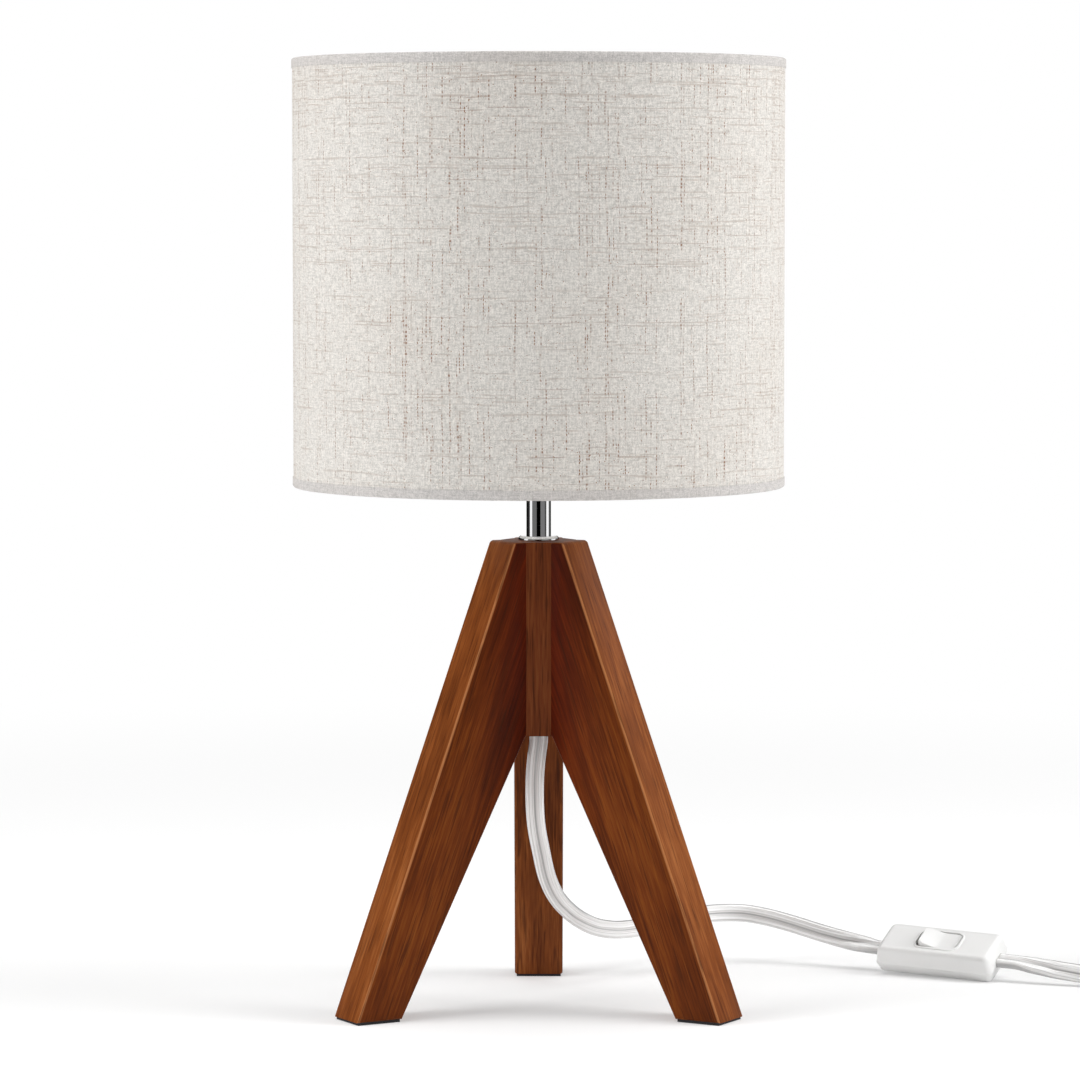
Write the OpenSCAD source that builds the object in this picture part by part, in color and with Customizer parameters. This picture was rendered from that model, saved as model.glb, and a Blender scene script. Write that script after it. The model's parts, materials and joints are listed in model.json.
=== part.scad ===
// Tripod table lamp: three wooden legs glued to a bored centre block, a chromed stem, a screw-in
// lamp holder, a clamped drum shade, and a flat clear cord with an inline rocker switch.
// Millimetres, +Z up, origin on the surface that the lamp stands on, under the stem's axis.
// The seen side of the lamp faces -Y.

/* [Shade] */
// Outer diameter of the drum over its hems
shade_d = 200; // [180:1:240]
// Height of the drum over its hems
shade_h = 173; // [150:1:200]
// Height of the drum's lower edge above the surface
shade_bottom = 213; // [211:0.5:216]
// Thickness of the linen
fabric_t = 0.55; // [0.4:0.05:0.8]
// Thickness of the stiff lining that the linen is glued to
lining_t = 0.5; // [0.3:0.05:0.8]
// Height of the folded hem seen on the outside
hem_h = 4; // [3:0.5:6]
// Thickness of the hem tape
hem_t = 0.3; // [0.2:0.05:0.4]
// Diameter of the frame's wire
wire_d = 2.4; // [2:0.1:3]
// Width of the upright overlap seam at the back
seam_w = 9; // [6:1:14]
// Bore of the plate in the middle of the frame
fitter_bore = 41; // [40.6:0.1:42]
// Outer diameter of that plate
fitter_d = 56; // [54:1:60]
// Thickness of that plate
fitter_t = 1.5; // [1:0.1:2]
// Number of frame arms
arm_count = 3; // [3:1:4]
// Radius of the bend in each arm
arm_bend = 9; // [6:1:14]

/* [Wood] */
// Height of the top of the legs and block
hub_top = 190.8; // [186:0.2:191.5]
// Height of the underside of the centre block
block_bottom = 112; // [106:1:118]
// Thickness of a leg board
leg_t = 20.3; // [19:0.1:21]
// Distance from the axis to a leg's glued face
leg_face = 11.7; // [11.2:0.1:13]
// Radial width of a leg at its top
leg_top_w = 5.5; // [5:0.5:7]
// Radial width of a leg at its foot
leg_foot_w = 20.4; // [18:0.2:24]
// Distance from the axis to the inner edge of a foot
leg_spread = 68.9; // [62:0.5:76]
// Width of the eased edges of the boards
leg_ease = 0.9; // [0.4:0.1:1.5]
// Radius of the outer corner at the top of a leg
leg_shoulder_r = 1.8; // [1:0.1:4]
// Thickness of a foot pad
pad_t = 1.1; // [0.8:0.1:2]
// How far a foot pad stays inside the foot
pad_inset = 0.8; // [0.4:0.1:2]
// Diameter of a glued dowel
dowel_d = 6; // [5:0.5:7]
// Depth of a dowel in the leg
dowel_in_leg = 6; // [4:0.5:7]
// Depth of a dowel in the block
dowel_in_block = 5; // [3:0.5:5.5]
// Height of the lower dowel in each leg
dowel_low = 132; // [128:1:136]
// Height of the upper dowel in each leg
dowel_high = 160; // [156:1:166]

/* [Stem] */
// Outer diameter of the threaded chromed pipe
pipe_d = 10; // [9.5:0.1:10.5]
// Bore of the pipe
pipe_bore = 8.1; // [8:0.05:8.3]
// Height of the pipe's lower end
pipe_low = 116; // [114.8:0.1:116.4]
// Height of the pipe's upper end
pipe_high = 231; // [228:0.5:233]
// Diameter of the round nut on top of the block
flange_d = 16.5; // [15:0.5:20]
// Height of that nut
flange_h = 1.8; // [1.4:0.1:3]
// Diameter of the pocket under the block
pocket_d = 19; // [18:0.5:19.5]
// Depth of that pocket
pocket_depth = 9.5; // [9:0.5:12]
// Diameter of the washer in the pocket
washer_d = 17; // [15:0.5:17.5]
// Thickness of that washer
washer_t = 1.2; // [0.8:0.1:1.6]
// Width across the flats of the hexagonal nut
hex_af = 14; // [13:0.5:15]
// Height of the hexagonal nut
hex_h = 3; // [2.5:0.5:3.5]

/* [Lamp holder] */
// Height of the shoulder that the shade's plate sits on
shoulder_z = 242; // [240:0.5:246]
// Outer diameter over the holder's thread
holder_d = 39.6; // [38:0.2:40]
// Depth of the holder's thread
thread_depth = 0.6; // [0.4:0.1:0.8]
// Distance between two turns of that thread
thread_pitch = 2.5; // [2:0.5:3]
// Diameter of the shoulder
shoulder_d = 47; // [45:0.5:49]
// Height of the threaded skirt above the shoulder
skirt_h = 40; // [37:1:42]
// Wall of the skirt and of the cap under it
holder_wall = 2.4; // [2:0.1:2.8]
// Height of the dished cap under the shoulder
cap_h = 18; // [16:1:20]
// Diameter of the cap's neck
neck_d = 16; // [14:1:20]
// Outer diameter of the clamping ring
ring_d = 50; // [46:1:52]
// Height of the clamping ring
ring_h = 6; // [5:0.5:8]
// Number of grip grooves round the clamping ring
ring_grooves = 36; // [24:1:48]
// Height of the insulating insert
insert_h = 11; // [10:0.5:12]
// Inner diameter of the brass screw shell
shell_bore = 27; // [26.8:0.1:27.4]
// Wall of the brass screw shell
shell_t = 0.5; // [0.4:0.1:0.8]
// Height of the brass screw shell
shell_h = 24; // [20:1:26]

/* [Bulb] */
// Diameter of the globe
bulb_d = 60; // [55:1:62]
// Height from the tip contact to the top of the globe
bulb_h = 107; // [100:1:108]
// Diameter of the screw cap over its thread
bulb_cap_d = 26.3; // [26:0.1:26.5]
// Height of the screw cap
bulb_cap_h = 22; // [20:1:23]
// Wall of the globe and of the housing
bulb_wall = 1.2; // [0.8:0.1:1.6]

/* [Inline switch] */
// Length of the switch housing
sw_l = 53; // [48:1:60]
// Width of the housing at its parting line
sw_w = 22; // [21:0.5:26]
// Height of the cover above the parting line
sw_up = 7.2; // [6.8:0.1:8]
// Depth of the base below the parting line
sw_down = 7; // [6.6:0.1:8]
// Draft of the walls, side to side
sw_draft = 1.2; // [0.8:0.1:1.6]
// Wall of the housing
sw_wall = 1.6; // [1.4:0.1:1.8]
// Tilt of the lower side faces, on one of which the switch rests
sw_roll = 26; // [22:1:28]
// Width of the flat underside between those faces
sw_sole = 10; // [8:0.5:12]
// Length of the rocker
rocker_l = 18.5; // [16:0.5:19]
// Width of the rocker
rocker_w = 11.6; // [10:0.2:12]
// Gap along the rocker's sides
rocker_gap = 0.3; // [0.2:0.05:0.5]
// Radius of the rocker's pivot pins
rocker_pin_r = 1.2; // [1:0.1:1.5]
// Running clearance of those pins
rocker_pin_gap = 0.06; // [0.03:0.01:0.1]
// Tilt of the rocker either side of level
rocker_tilt = 9; // [7:0.5:10]

/* [Cord and plug] */
// Width of the flat twin cord
cord_w = 7.6; // [7:0.1:7.6]
// Thickness of the flat twin cord
cord_t = 3.8; // [3.4:0.1:3.8]
// Radius of the coil's outermost turn, to the middle of the cord
coil_r = 46; // [44:1:50]
// Sideways step of the coil for one turn
coil_step = 4.5; // [4.4:0.1:5]
// Height between the coil's two layers
coil_layer = 8.5; // [8.4:0.1:9]
// Whole turns of the lower layer
coil_turns = 2; // [1:1:3]
// Width of the tie round the coil
tie_w = 6; // [4:1:10]
// Thickness of the tie
tie_t = 0.6; // [0.4:0.1:0.7]
// Length of the plug's body
plug_l = 34; // [30:1:38]
// Width of the plug's body at the pins
plug_w = 33; // [30:1:35]
// Thickness of the plug's body
plug_t = 14; // [13:0.5:15]
// Length of the plug's strain relief
relief_l = 24; // [20:1:30]
// Diameter of a plug pin
pin_d = 4; // [4:0.1:4.8]
// Distance between the two pins
pin_pitch = 19; // [18:0.5:19.5]
// Length of a plug pin outside the body
pin_l = 19; // [17:0.5:19.5]

/* [Hidden] */

$fn = 48;
// Small gap between pieces that touch inside the lamp
seat = 0.02;
// Gap round pieces that are pushed into a bore
fit = 0.1;
// Overlap that joins the shapes of one solid
weld = 0.01;

walnut = [0.40, 0.19, 0.09];
walnut_dark = [0.33, 0.17, 0.09];
linen = [0.86, 0.83, 0.79];
chrome = [0.82, 0.83, 0.85];
white = [0.93, 0.93, 0.92];
clear = [0.80, 0.80, 0.80];
brass = [0.80, 0.65, 0.35];
steel = [0.62, 0.63, 0.65];
black = [0.06, 0.06, 0.06];

// Directions in which the left, right and back legs stand
leg_angles = [210, 330, 90];

shade_r = shade_d / 2;
shade_top = shade_bottom + shade_h;
fabric_r = shade_r - hem_t - seat;
lining_r = fabric_r - fabric_t - seat;
wire_r = wire_d / 2;
ring_line_r = lining_r - lining_t - wire_r - 0.05;
hem_inner_r = ring_line_r - wire_r - 0.1;
bottom_ring_z = shade_bottom + hem_t + seat + wire_r;

skirt_r = holder_d / 2;
skirt_top = shoulder_z + skirt_h;
shoulder_t = 2;
cap_top = shoulder_z - shoulder_t;
cap_bottom = cap_top - cap_h;
insert_r = skirt_r - holder_wall - fit;
insert_low = cap_top + seat;
insert_top = insert_low + insert_h;
shell_r = shell_bore / 2;
tip_z = insert_top + 1.9;
bulb_cap_low = tip_z + 3.6;
bulb_cap_top = bulb_cap_low + bulb_cap_h;
bulb_r = bulb_d / 2;
bulb_top = tip_z + bulb_h;
globe_low = bulb_top - bulb_r * 1.55;
housing_floor = bulb_cap_top + seat + (globe_low - bulb_cap_top) * 0.25;
driver_low = housing_floor + seat;

pocket_top = block_bottom + pocket_depth;

// The stiff cord holds the switch's left end a little off the surface
sw_heading = -28;
sw_pitch = 1.5;
sw_facet_x = sw_w / 2 - sw_draft;
sw_facet_rise = (sw_facet_x - sw_sole / 2) * tan(sw_roll);
sw_centre = [171.3, 71, (sw_sole / 2 * sin(sw_roll) + sw_down * cos(sw_roll)) * cos(sw_pitch)
    + (sw_l / 2 - sw_draft) * sin(sw_pitch)];
sw_axis = turned([1, 0, 0]);
sw_wide = turned([0, cos(sw_roll), sin(sw_roll)]);
sw_left = sw_centre - sw_axis * sw_l / 2;
sw_right = sw_centre + sw_axis * sw_l / 2;
rocker_pivot = 3.5;
rocker_end_z = 5.4;
rocker_dip_z = 3.8;
rocker_skirt = 2.4;
// The ends of the rocker are rounded about its pivot, so they stay close to the well as it tips
rocker_end_r = rocker_l / 2 + 0.35;
well_l = 2 * (sqrt(pow(rocker_end_r, 2) - pow(sw_up - sw_wall - rocker_pivot, 2)) + rocker_gap);
well_w = rocker_w + 2 * rocker_gap;
ear_t = 2;
ear_y = well_w / 2;

// The coil lies on the underside of its tie
coil_lift = tie_t + 0.3;
coil_z = cord_w / 2 + coil_lift;
coil_centre = [292, 58];
// The cord joins the coil at this place round it, and leaves on the right, running back
coil_start = -130;
coil_in = coil_turns * 360;
coil_climb = 180;
coil_end = 2 * coil_in - coil_start;
coil_dip = 2.4;
ring_turn = 360 / 24;
tie_angle = coil_start + 21 * ring_turn;
tie_gap = 0.25;
tie_side_gap = 0.5;

plug_z = plug_t / 2;
plug_y = 122;
tail_x = coil_centre[0] + coil_radius(coil_end);
plug_face = plug_y + relief_l + plug_l;

// Where the flat cord runs, in real places, and which way its wide side points there:
// down from the block, in front of the back leg and past its side, then in the air behind the
// right leg, because the cord is stiff, and down to the switch
upper_route = concat([
    [[0, 0, block_bottom - 2 * seat], [1, 0, 0]],
    [[0, 0, 108.5], [1, 0, 0]],
    [[-0.8, 0.5, 102.5], [1, 0, 0]],
    [[-1.5, 3, 94], [1, 0, 0]],
    [[-1.6, 9, 82], [1, 0.1, 0]],
    [[-0.9, 17, 71], [1, 0.1, 0.1]],
    [[1, 26, 59.5], [1, 0, 0.2]],
    [[3.5, 34.5, 47.5], [1, -0.2, 0.4]],
    [[7.5, 42, 37.9], [1, -0.4, 0.7]],
    [[14, 50.5, 29.7], [0.8, -0.5, 1]],
    [[22, 58, 23.7], [0.5, -0.4, 1.5]],
    [[30.5, 65.8, 20.6], [0.2, -0.2, 2]],
    [[40, 75, 19.6], [0, 0, 1]],
    [[50, 84.8, 19.9], [0, 0, 1]],
    [[60.5, 94.8, 20.8], [0, 0, 1]],
    [[70.5, 103.6, 21.3], [0, 0, 1]],
    [[80, 109.8, 21.1], [0, 0, 1]],
    [[89.5, 111.6, 20.6], [0, 0, 1]],
    [[99.5, 108.9, 19.2], [0, 0, 1]],
    [[110, 104, 17], [0, 0, 1]],
    [[120.5, 98.6, 14.4], [0, 0, 1]],
    [[129.5, 93.8, 12.4], [0.1, 0.1, 1]],
    [[136, 90.2, 11.2], [0.25, 0.35, 0.9]],
    [[141, 87.3, 10.5], [0.38, 0.6, 0.65]]],
    [[sw_left - sw_axis * 4, sw_wide], [sw_left - sw_axis * 2 * seat, sw_wide]]);

lower_route = concat(
    [[sw_right + sw_axis * 2 * seat, sw_wide], [sw_right + sw_axis * 8, sw_wide]], [
    [[210.3, 50.8, 7.2], [0.35, 0.6, 0.8]],
    [[219.5, 46.6, 6.1], [0.15, 0.3, 1]],
    [[229.5, 42.8, 5.2], [0, 0.1, 1]],
    [[239.5, 39.2, 4.8], [0, 0, 1]]],
    [for (back = [10, 2 * seat])
        [coil_point(0) - coil_heading(0) * (cord_w + back), [0, 0, 1]]]);

tail_route = concat([
    [[tail_x, coil_centre[1] + cord_w + 2 * seat, coil_z + coil_layer], [0, 0, 1]],
    [[tail_x, 78, coil_z + coil_layer], [0, 0, 1]],
    [[tail_x, 90, 11], [0.3, 0, 1]],
    [[tail_x, 101, 9], [1, 0, 1]],
    [[tail_x, 112, plug_z], [1, 0, 0]]],
    [[[tail_x, plug_y - 2 * seat, plug_z], [1, 0, 0]]]);

// Outline of the flat cord, as [across, through] points
cord_outline_8 = [for (i = [0:7]) let (a = 22.5 + 45 * i)
    [(cord_w - cord_t) / 2 * sign(cos(a)) + cord_t / 2 / cos(22.5) * cos(a),
     cord_t / 2 / cos(22.5) * sin(a)]];
cord_outline_6 = [for (p = [[2, 0], [1.2, 1], [-1.2, 1], [-2, 0], [-1.2, -1], [1.2, -1]])
    [p[0] * cord_w / 4, p[1] * cord_t / 2]];

function unit(v) = v / norm(v);
// A direction in the pitched switch's frame, as it lies
function turned(v) =
    let (x = v[0] * cos(sw_pitch) + v[2] * sin(sw_pitch),
         z = v[2] * cos(sw_pitch) - v[0] * sin(sw_pitch))
    [x * cos(sw_heading) - v[1] * sin(sw_heading), x * sin(sw_heading) + v[1] * cos(sw_heading), z];
function along(pts, i) = unit(pts[min(i + 1, len(pts) - 1)] - pts[max(i - 1, 0)]);
// One ring of the cord: its wide side is made square to the way it runs
function ring(at, way, wide, outline) =
    let (through = unit(cross(way, wide)), across = cross(through, way))
    [for (p = outline) at + across * p[0] + through * p[1]];

// How the coil winds: a is the angle wound so far, from 0 to coil_end
function coil_radius(a) =
    a < coil_in ? coil_r - coil_step * a / 360
    : a < coil_in + coil_climb
        ? coil_r - coil_step * coil_turns - coil_dip * sin((a - coil_in) * 180 / coil_climb)
        : coil_r - coil_step * coil_turns + coil_step * (a - coil_in - coil_climb) / 360;
function coil_height(a) = coil_z + coil_layer
    * (1 - cos(180 * max(0, min(1, (a - coil_in) / coil_climb)))) / 2;
function coil_point(a) = [
    coil_centre[0] + coil_radius(a) * cos(coil_start + a),
    coil_centre[1] + coil_radius(a) * sin(coil_start + a),
    coil_height(a)];
function coil_heading(a) = [-sin(coil_start + a), cos(coil_start + a), 0];
function coil_rings() = concat(
    [ring(coil_point(0) - coil_heading(0) * cord_w, coil_heading(0), [0, 0, 1], cord_outline_6)],
    [for (a = [0:ring_turn:coil_end])
        ring(coil_point(a), coil_heading(a), [0, 0, 1], cord_outline_6)],
    [ring(coil_point(coil_end) + coil_heading(coil_end) * cord_w, coil_heading(coil_end),
          [0, 0, 1], cord_outline_6)]);
// Least distance between points of the coil that lie at least 18 rings apart along it
function least_gap(rings) = min([for (i = [0:len(rings) - 19])
    min([for (j = [i + 18:len(rings) - 1], p = rings[i], q = rings[j]) norm(p - q)])]);

// A closed tube through a list of rings
module tube(rings) {
    n = len(rings[0]);
    last = len(rings) - 1;
    sides = [for (i = [0:last - 1], k = [0:n - 1])
        let (a = i * n + k, b = i * n + (k + 1) % n)
        each [[a, b, b + n], [a, b + n, a + n]]];
    ends = [for (k = [1:n - 2]) each [[0, k + 1, k], [last * n, last * n + k, last * n + k + 1]]];
    polyhedron(points = [for (r = rings) each r], faces = concat(sides, ends));
}

module cord_run(route) {
    pts = [for (r = route) r[0]];
    tube([for (i = [0:len(route) - 1]) ring(pts[i], along(pts, i), route[i][1], cord_outline_8)]);
}

module stadium(length, width) {
    for (side = [-1, 1]) translate([side * (length - width) / 2, 0]) circle(d = width);
    square([length - width, width], center = true);
}

module round_plate(length, width, r) {
    for (x = [-1, 1], y = [-1, 1])
        translate([x * (length / 2 - r), y * (width / 2 - r)]) circle(r = r);
    square([length - 2 * r, width], center = true);
    square([length, width - 2 * r], center = true);
}

module tube_ring(r, tube_r) {
    rotate_extrude($fn = 96) translate([r, 0]) circle(r = tube_r, $fn = 24);
}

// Outline of a thread's crests and roots on radius r, from height low to high
function thread(r, depth, pitch, low, high) =
    let (count = floor((high - low) / pitch), start = (low + high - count * pitch) / 2)
    [for (i = [0:count - 1]) each [
        [r, start + i * pitch],
        [r, start + (i + 0.35) * pitch],
        [r - depth, start + (i + 0.5) * pitch],
        [r - depth, start + (i + 0.8) * pitch],
        [r, start + (i + 1) * pitch]]];

// Corner p of an outline, rounded to radius r between the corners before and after it
function rounded(p, before, after, r, steps = 6) =
    let (u = unit(before - p), v = unit(after - p), half = acos(u * v) / 2,
         c = p + unit(u + v) * r / sin(half),
         from = p + u * r / tan(half) - c, to = p + v * r / tan(half) - c,
         a0 = atan2(from[1], from[0]), turn = 180 - 2 * half)
    [for (i = [0:steps]) c + r * [cos(a0 - turn * i / steps), sin(a0 - turn * i / steps)]];

// Wooden parts

// Side view of a leg, as [distance from the axis, height]; reach takes it past its glued face
function leg_outline(reach) =
    let (rise = (block_bottom - pad_t) / (leg_spread - leg_face),
         foot = [leg_spread + leg_foot_w, pad_t],
         shoulder = [leg_face + leg_top_w, hub_top])
    concat([[leg_face - reach, hub_top]],
           rounded(shoulder, [leg_face - reach, hub_top], foot, leg_shoulder_r),
           [foot, [leg_spread, pad_t], [leg_face - reach, block_bottom + reach * rise]]);

module at_leg(i) {
    rotate([0, 0, leg_angles[i]]) children();
}

module dowel_places() {
    for (z = [dowel_low, dowel_high]) translate([leg_face, 0, z]) children();
}

module dowel(gap) {
    rotate([0, 90, 0]) translate([0, 0, -dowel_in_block - gap])
        cylinder(d = dowel_d + 2 * gap, h = dowel_in_leg + dowel_in_block + 2 * gap);
}

module leg(i) {
    reach = 4;
    color(walnut) at_leg(i) difference() {
        rotate([90, 0, 0]) hull() {
            linear_extrude(leg_t - 2 * leg_ease, center = true) polygon(leg_outline(reach));
            linear_extrude(leg_t, center = true)
                offset(delta = -leg_ease) polygon(leg_outline(reach));
        }
        translate([leg_face - 20, -leg_t, 0]) cube([20, 2 * leg_t, hub_top + 10]);
        dowel_places() dowel(fit);
    }
}

module leg_left() leg(0);
module leg_right() leg(1);
module leg_back() leg(2);

module leg_dowels() {
    color(walnut_dark) for (i = [0:2]) at_leg(i) dowel_places() dowel(0);
}

// Six-sided block: three faces carry the legs, and three narrow faces show between them
module centre_block() {
    corners = [for (a = leg_angles, side = [-1, 1])
        (leg_face - seat) * [cos(a), sin(a)] + side * leg_t / 2 * [-sin(a), cos(a)]];
    bottom = block_bottom;
    color(walnut_dark) difference() {
        translate([0, 0, bottom]) linear_extrude(hub_top - bottom) polygon(corners);
        translate([0, 0, bottom - 1]) cylinder(d = pipe_d + 2 * fit, h = hub_top - bottom + 2);
        translate([0, 0, bottom - 1]) cylinder(d = pocket_d, h = pocket_depth + 1);
        for (i = [0:2]) at_leg(i) dowel_places() dowel(fit);
    }
}

module foot_pad(i) {
    color(black) at_leg(i)
        translate([leg_spread + pad_inset, pad_inset - leg_t / 2, 0])
            cube([leg_foot_w - 2 * pad_inset, leg_t - 2 * pad_inset, pad_t - seat]);
}

module foot_pad_left() foot_pad(0);
module foot_pad_right() foot_pad(1);
module foot_pad_back() foot_pad(2);

// Stem and its fixings

module flange_nut() {
    r = flange_d / 2;
    color(chrome) translate([0, 0, hub_top + seat]) rotate_extrude() polygon([
        [pipe_d / 2 + seat, 0], [r, 0], [r, flange_h * 0.4], [r - flange_h * 0.2, flange_h * 0.8],
        [r - flange_h * 0.6, flange_h], [pipe_d / 2 + seat, flange_h]]);
}

module stem_pipe() {
    r = pipe_d / 2;
    low_thread = thread(r, 0.4, 1.25, pipe_low + 1, pipe_low + 9);
    high_thread = thread(r, 0.4, 1.25, pipe_high - 8, pipe_high - 1);
    color(chrome) rotate_extrude() polygon(concat(
        [[pipe_bore / 2, pipe_low], [r, pipe_low]], low_thread, high_thread,
        [[r, pipe_high], [pipe_bore / 2, pipe_high]]));
}

module pocket_washer() {
    color(steel) translate([0, 0, pocket_top - washer_t - seat]) difference() {
        cylinder(d = washer_d, h = washer_t);
        translate([0, 0, -1]) cylinder(d = pipe_d + 2 * fit, h = washer_t + 2);
    }
}

module pocket_nut() {
    color(steel) translate([0, 0, pocket_top - washer_t - hex_h - 2 * seat]) difference() {
        cylinder(d = hex_af / cos(30), h = hex_h, $fn = 6);
        translate([0, 0, -1]) cylinder(d = pipe_d + 2 * seat, h = hex_h + 2);
    }
}

// Plastic collar that keeps the pipe's cut end off the cord
module pipe_bushing() {
    lip = 1.2;
    color(white) translate([0, 0, pipe_low - lip - seat]) difference() {
        cylinder(d = pipe_d + 2.6, h = lip + 1);
        translate([0, 0, -1]) cylinder(d = pipe_bore, h = lip + 4);
        translate([0, 0, lip]) cylinder(d = pipe_d + 2 * seat, h = 4);
    }
}

// The cord inside the pipe, and its two cores up to the terminals
module stem_cord() {
    split = pipe_high + (insert_low - pipe_high) / 3;
    color(clear) {
        translate([0, 0, block_bottom]) linear_extrude(split - block_bottom)
            stadium(cord_w, cord_t);
        for (side = [-1, 1]) translate([side * cord_t / 2, 0, split - weld]) {
            rotate([0, side * 40, 0]) cylinder(r = 0.9, h = 1.05 * (insert_low - split));
        }
    }
}

// Lamp holder

module holder_cap() {
    r = skirt_r;
    t = holder_wall;
    ledge = r - t - 1.5;
    neck = neck_d / 2;
    dish = cap_bottom + cap_h * 0.65;
    arc = [for (a = [0:15:90]) [neck + (r - neck) * sin(a), dish - cap_h * 0.4 * cos(a)]];
    inner = [for (a = [90:-15:0])
        [neck - t + (ledge - neck + t) * sin(a), dish - (cap_h * 0.4 - t) * cos(a)]];
    color(white) rotate_extrude() polygon(concat(
        [[pipe_d / 2 + fit, cap_bottom], [neck, cap_bottom]], arc,
        [[r, cap_top], [ledge, cap_top]], inner,
        [[pipe_d / 2 + fit, dish - cap_h * 0.4 + t]]));
}

module holder_skirt() {
    r = skirt_r;
    bore = r - holder_wall;
    color(white) rotate_extrude() polygon(concat(
        [[bore, cap_top + seat], [shoulder_d / 2, cap_top + seat], [shoulder_d / 2, shoulder_z],
         [r - thread_depth, shoulder_z]],
        thread(r, thread_depth, thread_pitch, shoulder_z + 1, skirt_top - 2),
        [[r - 0.5, skirt_top], [bore, skirt_top]]));
}

module holder_insert() {
    color(white) difference() {
        translate([0, 0, insert_low]) cylinder(r = insert_r, h = insert_h - seat);
        for (side = [-1, 1]) translate([side * 9.5, 0, insert_low - 1])
            cylinder(r = 1.3, h = 5);
    }
}

module terminal_screws() {
    head_h = 2.2;
    color(brass) for (side = [-1, 1]) translate([side * 9.5, 0, insert_low - head_h - seat]) {
        cylinder(r = 2.2, h = head_h);
        cylinder(r = 1.2, h = head_h + 3.5);
    }
}

module screw_shell() {
    color(brass) translate([0, 0, insert_top]) difference() {
        cylinder(r = shell_r + shell_t, h = shell_h);
        translate([0, 0, -1]) cylinder(r = shell_r, h = shell_h + 2);
    }
}

module centre_contact() {
    color(brass) translate([0, 0, insert_top]) {
        cylinder(r = 5, h = 0.6);
        cylinder(r = 2.5, h = tip_z - insert_top - 0.3);
    }
}

module clamp_ring() {
    groove = 1.2;
    color(white) translate([0, 0, shoulder_z + fitter_t + 2 * seat]) linear_extrude(ring_h)
        difference() {
            circle(d = ring_d);
            circle(d = holder_d + 2 * fit);
            for (i = [0:ring_grooves - 1]) rotate(i * 360 / ring_grooves)
                translate([ring_d / 2 + groove / 3, 0]) circle(d = groove, $fn = 16);
        }
}

// Shade

module drum(r, t) {
    low = shade_bottom + hem_t + seat;
    translate([0, 0, low]) difference() {
        cylinder(r = r, h = shade_h - 2 * (hem_t + seat), $fn = 96);
        translate([0, 0, -1]) cylinder(r = r - t, h = shade_h + 2, $fn = 96);
    }
}

module shade_fabric() {
    color(linen) drum(fabric_r, fabric_t);
}

module shade_lining() {
    color(white) drum(lining_r, lining_t);
}

// The hem is folded over the drum's edge and round its wire
module hem() {
    inner = hem_inner_r;
    rotate_extrude($fn = 96) polygon([
        [inner - hem_t, 0], [shade_r, 0], [shade_r, hem_h], [fabric_r + seat, hem_h],
        [fabric_r + seat, hem_t], [inner, hem_t], [inner, hem_h], [inner - hem_t, hem_h]]);
}

module hem_bottom() {
    color(linen) translate([0, 0, shade_bottom]) hem();
}

module hem_top() {
    color(linen) translate([0, 0, shade_top]) mirror([0, 0, 1]) hem();
}

module shade_seam() {
    span = seam_w / shade_r * 180 / PI;
    color(linen) translate([0, 0, shade_bottom + hem_h + seat]) rotate([0, 0, 90 - span / 2])
        rotate_extrude(angle = span, $fn = 96) translate([fabric_r + seat, 0])
            square([hem_t - 2 * seat, shade_h - 2 * (hem_h + seat)]);
}

module top_wire_ring() {
    color(white) translate([0, 0, shade_top - hem_t - seat - wire_r])
        tube_ring(ring_line_r, wire_r);
}

module bottom_wire_ring() {
    color(white) translate([0, 0, bottom_ring_z]) tube_ring(ring_line_r, wire_r);
}

module frame_plate() {
    color(white) translate([0, 0, shoulder_z + seat]) difference() {
        cylinder(d = fitter_d, h = fitter_t);
        translate([0, 0, -1]) cylinder(d = fitter_bore, h = fitter_t + 2);
    }
}

// Each arm stands on the bottom ring and reaches in under the plate, up to the holder's shoulder
module frame_arms() {
    low = bottom_ring_z + wire_r + seat;
    high = shoulder_z - wire_r;
    inner_end = shoulder_d / 2 + 5 * fit;
    color(white) for (i = [0:arm_count - 1]) rotate([0, 0, 30 + i * 360 / arm_count]) {
        translate([ring_line_r, 0, low]) cylinder(r = wire_r, h = high - low - arm_bend);
        translate([ring_line_r - arm_bend, 0, high - arm_bend]) rotate([90, 0, 0])
            rotate_extrude(angle = 90) translate([arm_bend, 0]) circle(r = wire_r);
        translate([inner_end, 0, high]) rotate([0, 90, 0])
            cylinder(r = wire_r, h = ring_line_r - arm_bend - inner_end);
    }
}

// Bulb

module bulb_cap() {
    r = bulb_cap_d / 2;
    color(steel) rotate_extrude() polygon(concat(
        [[0, bulb_cap_low], [r - 1, bulb_cap_low]],
        thread(r, 0.7, 3.6, bulb_cap_low + 1, bulb_cap_top - 2),
        [[r, bulb_cap_top], [0, bulb_cap_top]]));
}

module bulb_tip() {
    color(black) rotate_extrude() polygon([
        [0, tip_z], [2.2, tip_z], [3.2, tip_z + 0.8], [5, tip_z + 1.2],
        [bulb_cap_d / 2 - 3, bulb_cap_low - seat], [0, bulb_cap_low - seat]]);
}

// Sine-shaped flare from the cap up to the globe
function housing_r(k) = let (low = bulb_cap_d / 2 + 0.8, high = globe_edge_r())
    low + (high - low) * sin(90 * k);
function globe_edge_r() = sqrt(pow(bulb_r, 2) - pow(globe_low - bulb_top + bulb_r, 2));

module bulb_housing() {
    low = bulb_cap_top + seat;
    rise = globe_low - low;
    color(white) rotate_extrude() polygon(concat(
        [for (k = [0:0.125:1]) [housing_r(k), low + rise * k]],
        [for (k = [1:-0.125:0.3]) [housing_r(k) - bulb_wall, low + rise * k]],
        [[housing_r(0.25) - bulb_wall, housing_floor]],
        [[0, housing_floor], [0, low]]));
}

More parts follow.
